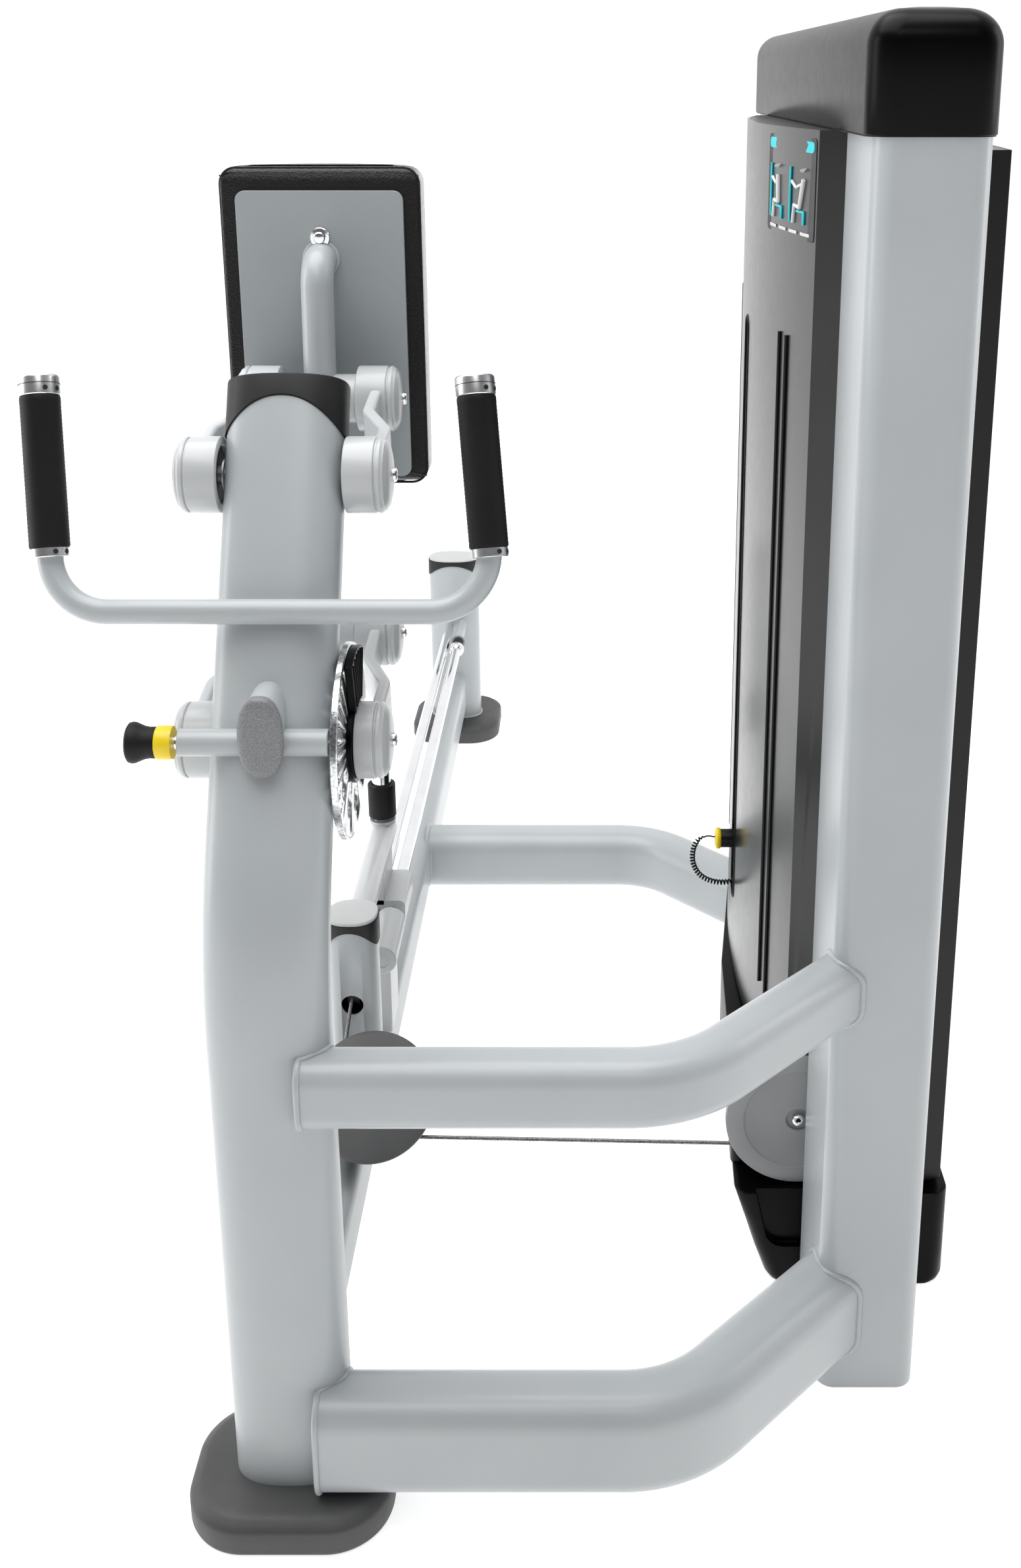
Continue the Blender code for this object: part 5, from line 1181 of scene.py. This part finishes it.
def crown_point(y, z, out):
    """A point on the slotted shroud's face."""
    return Vector((crown_x(y, BAY_HALF - 0.0015) - out, y, z))


def face_patch(name, y0, y1, z0, z1, out, material, thickness=0.0006, radius=0.006):
    """A thin sheet that follows the shroud's face."""
    outline = shifted(rounded_rect(y1 - y0, z1 - z0, min(radius, (y1 - y0) / 2.05, (z1 - z0) / 2.05), 6),
            (y0 + y1) / 2, (z0 + z1) / 2)
    rings = [[crown_point(y, z, out) for y, z in outline],
            [crown_point(y, z, out - thickness) for y, z in outline]]
    return fix(place(name, skin(rings), material), "satin_plastic")


def figure(name, joints, radius, y0, z0, out, material):
    """A stick of the pictogram, flattened on the shroud's face."""
    points = [crown_point(y0 + a, z0 + b, out) for a, b in joints]
    return fix(line(name, points, radius, material), "satin_plastic")


def build_placard():
    """A generic pictogram: a figure at a bar, a machine and rows of blank bars."""
    face_patch("placard_sheet", -0.752, -0.56, 1.355, 1.468, 0.0008, "iron")
    face_patch("placard_head_band", -0.746, -0.566, 1.452, 1.464, 0.0011, "cyan_ink")
    out = 0.0012
    for i, (shift, lean) in enumerate(((0.0, 0.012), (0.088, -0.004))):
        y0, z0 = -0.728 + shift, 1.372
        figure("placard_seat_%d" % i, mm(10, 0, 10, 14, 34, 14), 0.0016, y0, z0, out, "cyan_ink")
        figure("placard_back_%d" % i, ((0.024, 0.018), (0.024 - lean, 0.05)), 0.003, y0, z0, out,
                "white_ink")
        figure("placard_leg_%d" % i, mm(24, 18, 44, 20, 48, 0), 0.0024, y0, z0, out, "white_ink")
        figure("placard_arm_%d" % i, ((0.024 - lean, 0.046), (0.04, 0.04), (0.056, 0.046)), 0.0018, y0, z0,
                out, "white_ink")
        figure("placard_head_%d" % i, ((0.024 - lean, 0.06), (0.0242 - lean, 0.0604)), 0.005, y0, z0, out,
                "white_ink")
        figure("placard_post_%d" % i, ((0.062, 0.0), (0.062, 0.062)), 0.0014, y0, z0, out, "cyan_ink")
    for i in range(4):
        face_patch("placard_bar_%d" % i, -0.738 + i * 0.044, -0.708 + i * 0.044, 1.36, 1.3635, 0.0011,
                "white_ink", radius=0.001)


def plan_ring(x0, x1, y0, y1, radius, z, steps=10):
    section = rounded_rect(x1 - x0, y1 - y0, radius, steps)
    return [Vector(((x0 + x1) / 2 + a, (y0 + y1) / 2 + b, z)) for a, b in section]


def cap_ring(y0, y1, inset, z):
    corner = max(CAP_CORNER - inset * 0.6, 0.006)
    return plan_ring(CAP_X[0] + inset, CAP_X[1] - inset, y0 + inset, y1 - inset, corner, z)


def cap_levels(y0, y1, wall):
    """The cap's rings from its lower edge over its rounded top, drawn in by a wall's thickness."""
    base = UPRIGHT_HEIGHT + 0.0003
    levels = [(0.0008, base), (0.0, base + 0.0012)]
    for i in range(13):
        angle = radians(90 * i / 12)
        levels.append((CAP_ROUND * (1 - cos(angle)),
                CAP_TOP_Z - 0.0015 - CAP_ROUND + CAP_ROUND * sin(angle) - wall))
    levels += [(CAP_ROUND + 0.008, CAP_TOP_Z - 0.0007 - wall), (CAP_ROUND + 0.016, CAP_TOP_Z - wall)]
    return [cap_ring(y0, y1, inset + wall, z) for inset, z in levels]


def build_tower_cap():
    y0 = TOWER_Y - UPRIGHT_SPREAD - UPRIGHT[1] / 2 - 0.004
    y1 = TOWER_Y + UPRIGHT_SPREAD + UPRIGHT[1] / 2 + 0.004
    rings = list(reversed(cap_levels(y0, y1, 0.005))) + cap_levels(y0, y1, 0)
    fix(place("tower_cap_shell", skin(rings), "gloss", 60), "gloss_plastic", "tower_cap")
    # A dark line just under the cap's lower edge: painted shadow at the seam.
    shadow = plan_ring(CAP_X[0] + 0.002, CAP_X[1] - 0.002, y0 + 0.002, y1 - 0.002, 0.029,
            UPRIGHT_HEIGHT - 0.0003, 12)
    fix(line("tower_cap_seam_shade", shadow, 0.0008, "dark", True), "gloss_plastic")


def base_ring(left, right, half, radius, z):
    y0, y1 = TOWER_Y - half, TOWER_Y + half
    start = Vector(((left + right) / 2, y0, z))
    corners = [start, (right, y0, z), (right, y1, z), (left + 0.05, y1, z), (left + 0.01, TOWER_Y, z),
            (left, y0, z), start]
    return rounded_path(corners, radius, 8)[:-1]


def build_tower_base():
    shape = ((0, 0.2985, 0.5175), (0.003, 0.294, 0.522), (0.01, 0.289, 0.525), (0.05, 0.2745, 0.525),
            (0.09, 0.262, 0.525), (PLINTH_TOP_Z - 0.003, 0.2468, 0.525),
            (PLINTH_TOP_Z - 0.0008, 0.2475, 0.5243), (PLINTH_TOP_Z, 0.249, 0.522))
    base = place("tower_base_moulding", skin([base_ring(x0, x1, PLINTH_HALF, 0.022, z) for z, x0,
            x1 in shape]), "gloss")
    recess = mm(272, 150, 279.5, 115, 287, 80, 290, 71, 296, 64, 303, 59.5, 312, 58, 440, 58, 440, 150)
    front = TOWER_Y - PLINTH_HALF
    cut(base, prism("tool", recess, "Y", front - 0.1, front + 0.01, "gloss"))
    for side in (-1, 1):
        notch = rounded_rect(UPRIGHT[0] + 0.001, UPRIGHT[1] + 0.001, 0.022, 12)
        cut(base, prism("tool", shifted(notch, TOWER_X, TOWER_Y + side * UPRIGHT_SPREAD), "Z", -0.1, 1,
                "gloss"))
    well = (0.306, TOWER_Y - BASE_HALF + 0.02, BASE_FLOOR_Z), (0.4455, TOWER_Y + BASE_HALF - 0.02, 1.0)
    cut(base, box("tool", *well, "gloss"))
    fix(soften(base, 0.0016, 3, 40), "gloss_plastic", "tower_base")
    tray = place("tower_base_tray", skin([base_ring(0.246 + k, 0.4525 - k, BASE_HALF - k, 0.022, z) for k,
            z in ((0, 0.135), (0, BASE_TOP_Z - 0.003), (0.0008, BASE_TOP_Z - 0.0008),
            (0.003, BASE_TOP_Z))]), "gloss")
    cut(tray, box("tool", *well, "gloss"))
    fix(soften(tray, 0.0012, 2, 40), "gloss_plastic")
    edge = [Vector((x, front + 0.0096, z)) for x, z in recess[:-2]] + [Vector((0.332, front + 0.0096, 0.058))]
    fix(line("tower_base_recess_edge", edge[1:], 0.0013, "gloss"), "gloss_plastic")


def build_pin_and_lanyard():
    outer_x = 0.2425
    start = Vector((outer_x, TOWER_Y, PIN_Z))
    profile = [(0.0137, 0.0072), (0.0137, 0.056), (0.0128, 0.0585), (0.0095, 0.06), (0.0045, 0.061),
            (0.004, 0.062), (0.004, STACK_X + 0.0075 - outer_x), (0.0022, STACK_X + 0.01 - outer_x)]
    give(turned("selector_pin_body", profile, start, X_AXIS, "satin", 48), "weight_pin", "satin_plastic",
            "selector_pin")
    end = mm(1, -0.2, 10.5, -0.2, 14, 0.6, 15.6, 2, 15.8, 3.4, 15.6, 5.6, 14.6, 7.4, 13.7, 8)
    give(turned("selector_pin_yellow_end", end, start, X_AXIS, "yellow", 48), "weight_pin", "satin_plastic")
    route = ((-0.0005, 0, 0.002), (-0.0125, 0, 0.003), (-0.0255, -0.001, -0.003), (-0.0325, -0.001, -0.02),
            (-0.0315, -0.001, -0.042), (-0.0205, 0, -0.061), (-0.0015, 0.002, -0.072),
            (0.0195, 0.004, -0.074), (0.0395, 0.007, -0.069), (0.0555, 0.01, -0.057),
            (0.067, 0.0115, -0.038), (0.0715, 0.0115, -0.018), (0.072, 0.0115, 0.005),
            (0.073, 0.0115, 0.023), (0.076, 0.0115, 0.029), (0.0815, 0.0115, 0.0302))
    points = coiled(spline([start + Vector(p) for p in route], 40), 0.0031, 0.0042)
    cord = line("lanyard_coil", points, 0.00125, "rubber", False, 2)
    give_cord(cord)


def coiled(path, radius, pitch):
    """A helix round a path, straight at its ends."""
    lengths = [0]
    for a, b in zip(path, path[1:]):
        lengths.append(lengths[-1] + (b - a).length)
    total = lengths[-1]
    turns = round(total * 0.86 / pitch)
    points = []
    side = Y_AXIS
    count = turns * 14 + 40
    index = 0
    for k in range(count + 1):
        s = total * k / count
        while index + 2 < len(path) and lengths[index + 1] < s:
            index += 1
        span = lengths[index + 1] - lengths[index]
        centre = path[index].lerp(path[index + 1], (s - lengths[index]) / span)
        tangent = (path[index + 1] - path[index]).normalized()
        across = (side - tangent * side.dot(tangent)).normalized()
        up = tangent.cross(across)
        fade = min(1, max(0, (s / total - 0.05) / 0.06), max(0, (0.95 - s / total) / 0.06))
        angle = 2 * pi * turns * s / total
        points.append(centre + (across * cos(angle) + up * sin(angle)) * radius * fade)
    return points


def give_cord(cord):
    """The lanyard hangs between the pin's end and the head plate."""
    data = cord.data
    graph = bpy.context.evaluated_depsgraph_get()
    mesh = bpy.data.meshes.new_from_object(cord.evaluated_get(graph))
    tube = bpy.data.objects.new("lanyard_cord", mesh)
    bpy.context.scene.collection.objects.link(tube)
    bpy.data.objects.remove(cord)
    bpy.data.curves.remove(data)
    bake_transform(tube)
    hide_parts("lanyard")


# Cable and sheaves


def tilted_up():
    return Vector((0, sin(REDIRECT_TILT), cos(REDIRECT_TILT)))


def redirect_axis():
    return Vector((0, -cos(REDIRECT_TILT), sin(REDIRECT_TILT)))


def build_cables():
    near, far = (Vector((STACK_X, y, TOP_SHEAVE_Z)) for y in (TOP_NEAR_Y, TOP_FAR_Y))
    carriage_end, post_end = Vector((FRONT_POST_X, -0.3253, CABLE_LEVEL_Z)), Vector((FRONT_POST_X, -0.575,
            CABLE_LEVEL_Z))
    steps = 24
    run = [carriage_end.lerp(post_end, i / steps) for i in range(steps + 1)]
    moving = place("carriage_cable", skin(swept_rings(run, Z_AXIS, circle(CABLE_RADIUS, 16))), "wire")
    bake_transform(moving)
    route = [post_end + Y_AXIS * 0.002]
    route += arc(ROLLER_CENTRE, -Y_AXIS, Z_AXIS, ROLLER_PATH, 90, 45)
    route += arc(REDIRECT_CENTRE, X_AXIS, tilted_up(), REDIRECT_PATH, 180, 270)
    route += arc(TOWER_SHEAVE_CENTRE, X_AXIS, Z_AXIS, TOWER_SHEAVE_PATH, 270, 360)
    route += arc(near, Y_AXIS, Z_AXIS, TOP_SHEAVE_PATH, 180, 90)
    route += arc(far, Y_AXIS, Z_AXIS, TOP_SHEAVE_PATH, 90, 0)
    route.append(Vector((STACK_X, TOP_FAR_Y + TOP_SHEAVE_PATH, BEAM_LOW_Z)))
    fix(line("main_cable", route, CABLE_RADIUS, "wire"), "steel", "drive_cable")
    for label, side in (("near", -1), ("far", 1)):
        y = TOWER_Y + side * FLOAT_SHEAVE_PATH
        top, bottom = Vector((STACK_X, y, BEAM_LOW_Z)), Vector((STACK_X, y, FLOAT_SHEAVE_Z))
        run = [bottom.lerp(top, i / steps) for i in range(steps + 1)]
        fall = place("lift_cable_" + label, skin(swept_rings(run, X_AXIS, circle(CABLE_RADIUS, 12))), "wire")
        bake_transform(fall)
    loop = arc(Vector((STACK_X, TOWER_Y, FLOAT_SHEAVE_Z)), Y_AXIS, Z_AXIS, FLOAT_SHEAVE_PATH, 180, 360)
    give(line("lift_cable_loop", loop, CABLE_RADIUS, "wire"), "weight_stack", "steel", "lift_cable")


def build_redirect_cover():
    axis = redirect_axis()
    dome = mm(60, 8.5, 80, 8, 81.8, 9, 83.2, 11.2, 83.7, 13.5, 83.2, 15.6, 81.5, 17.2, 78, 18.6, 70, 21, 58,
            23.8, 44, 26.2, 28, 28, 12, 29, 1, 29.2)
    # The dome's grey, lighter than the black skirt below, is partly painted reflection of the light from
    # above.
    cover = turned("redirect_dome", dome, REDIRECT_CENTRE, axis, "dome", 96)
    fix(cover, "satin_plastic", "redirect_cover")
    skirt = []
    for i in range(56):
        angle = radians(190 + 2 * i)
        out = X_AXIS * cos(angle) + tilted_up() * sin(angle)
        profile = mm(72, -11.2, 72.8, -12, 77.2, -12, 78, -11.2, 80, 10, 74, 10)
        skirt.append([REDIRECT_CENTRE + out * r + axis * h for r, h in profile])
    fix(place("redirect_skirt", skin(skirt), "satin"), "satin_plastic")
    axle = rod("redirect_axle", REDIRECT_CENTRE - axis * 0.016, REDIRECT_CENTRE + axis * 0.012, 0.008,
            "steel")
    fix(axle, "steel")
    back = turned("redirect_back_plate", mm(1, -17, 33.2, -17, 34, -16.2, 34, -10.8, 33.2, -10, 1, -10),
            REDIRECT_CENTRE, axis, "satin", 56)
    fix(back, "satin_plastic")
    slope = REDIRECT_CENTRE - axis * 0.014
    outline = [(y, RAIL_TOP_Z - 0.004) for y in (-0.725, -0.69)] + [(y, slope.z + y - slope.y)
            for y in (-0.69, -0.725)]
    fix(soften(prism("redirect_leg", outline, "X", -0.284, -0.215, "satin"), 0.002, 2), "satin_plastic")


def build_tower_pulley_cover():
    centre = Vector((TOWER_SHEAVE_CENTRE.x, -0.7715, TOWER_SHEAVE_CENTRE.z))
    profile = mm(16, 4.8, 16, 1.8, 16.8, 1.1, 30, 1.2, 69, 1.7, 70.2, 1.2, 71, 0.2, 72, 0, 92, 0, 93.4, 0.4,
            94, 1.6, 94, 9, 30, 9)
    cover = turned("tower_pulley_disc", profile, centre, Y_AXIS, "cover", 120)
    fix(cover, "cover_plastic", "tower_pulley_cover")
    end = (centre.x, TOWER_Y - BASE_HALF, centre.z)
    fix(rod("tower_pulley_axle", centre + Y_AXIS * 0.005, end, 0.008, "steel"), "steel")
    socket_screw("tower_pulley_screw", centre + Y_AXIS * 0.0038, -Y_AXIS, 0.0085, "frame")


# Assembly


def dress_cad_nodes(frame):
    for row in frame["record"]["subparts"]:
        node = frame["nodes"][row["node"]]
        node.data.materials.clear()
        node.data.materials.append(MATERIALS[CAD_LOOKS[row["material_slot"]]])
        if row["node"] in BEVELLED:
            soften(node, 0.0006, 2, 40)


def main():
    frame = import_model()
    MATERIALS.update(make_materials())
    make_camera()
    make_studio()
    dress_cad_nodes(frame)
    build_column()
    build_column_cap()
    build_posts()
    build_frame_tubes()
    build_handlebar()
    build_pin_housing()
    build_pull_pin()
    for level, pivot in PIVOT_BODIES:
        for label, side in (("left", -1), ("right", 1)):
            build_link(level, label, pivot, side, level + "_links")
    build_disc()
    build_pad_carrier()
    build_rods()
    build_carriage()
    build_shrouds()
    build_placard()
    build_tower_cap()
    build_tower_base()
    build_pin_and_lanyard()
    build_cables()
    build_redirect_cover()
    build_tower_pulley_cover()


main()
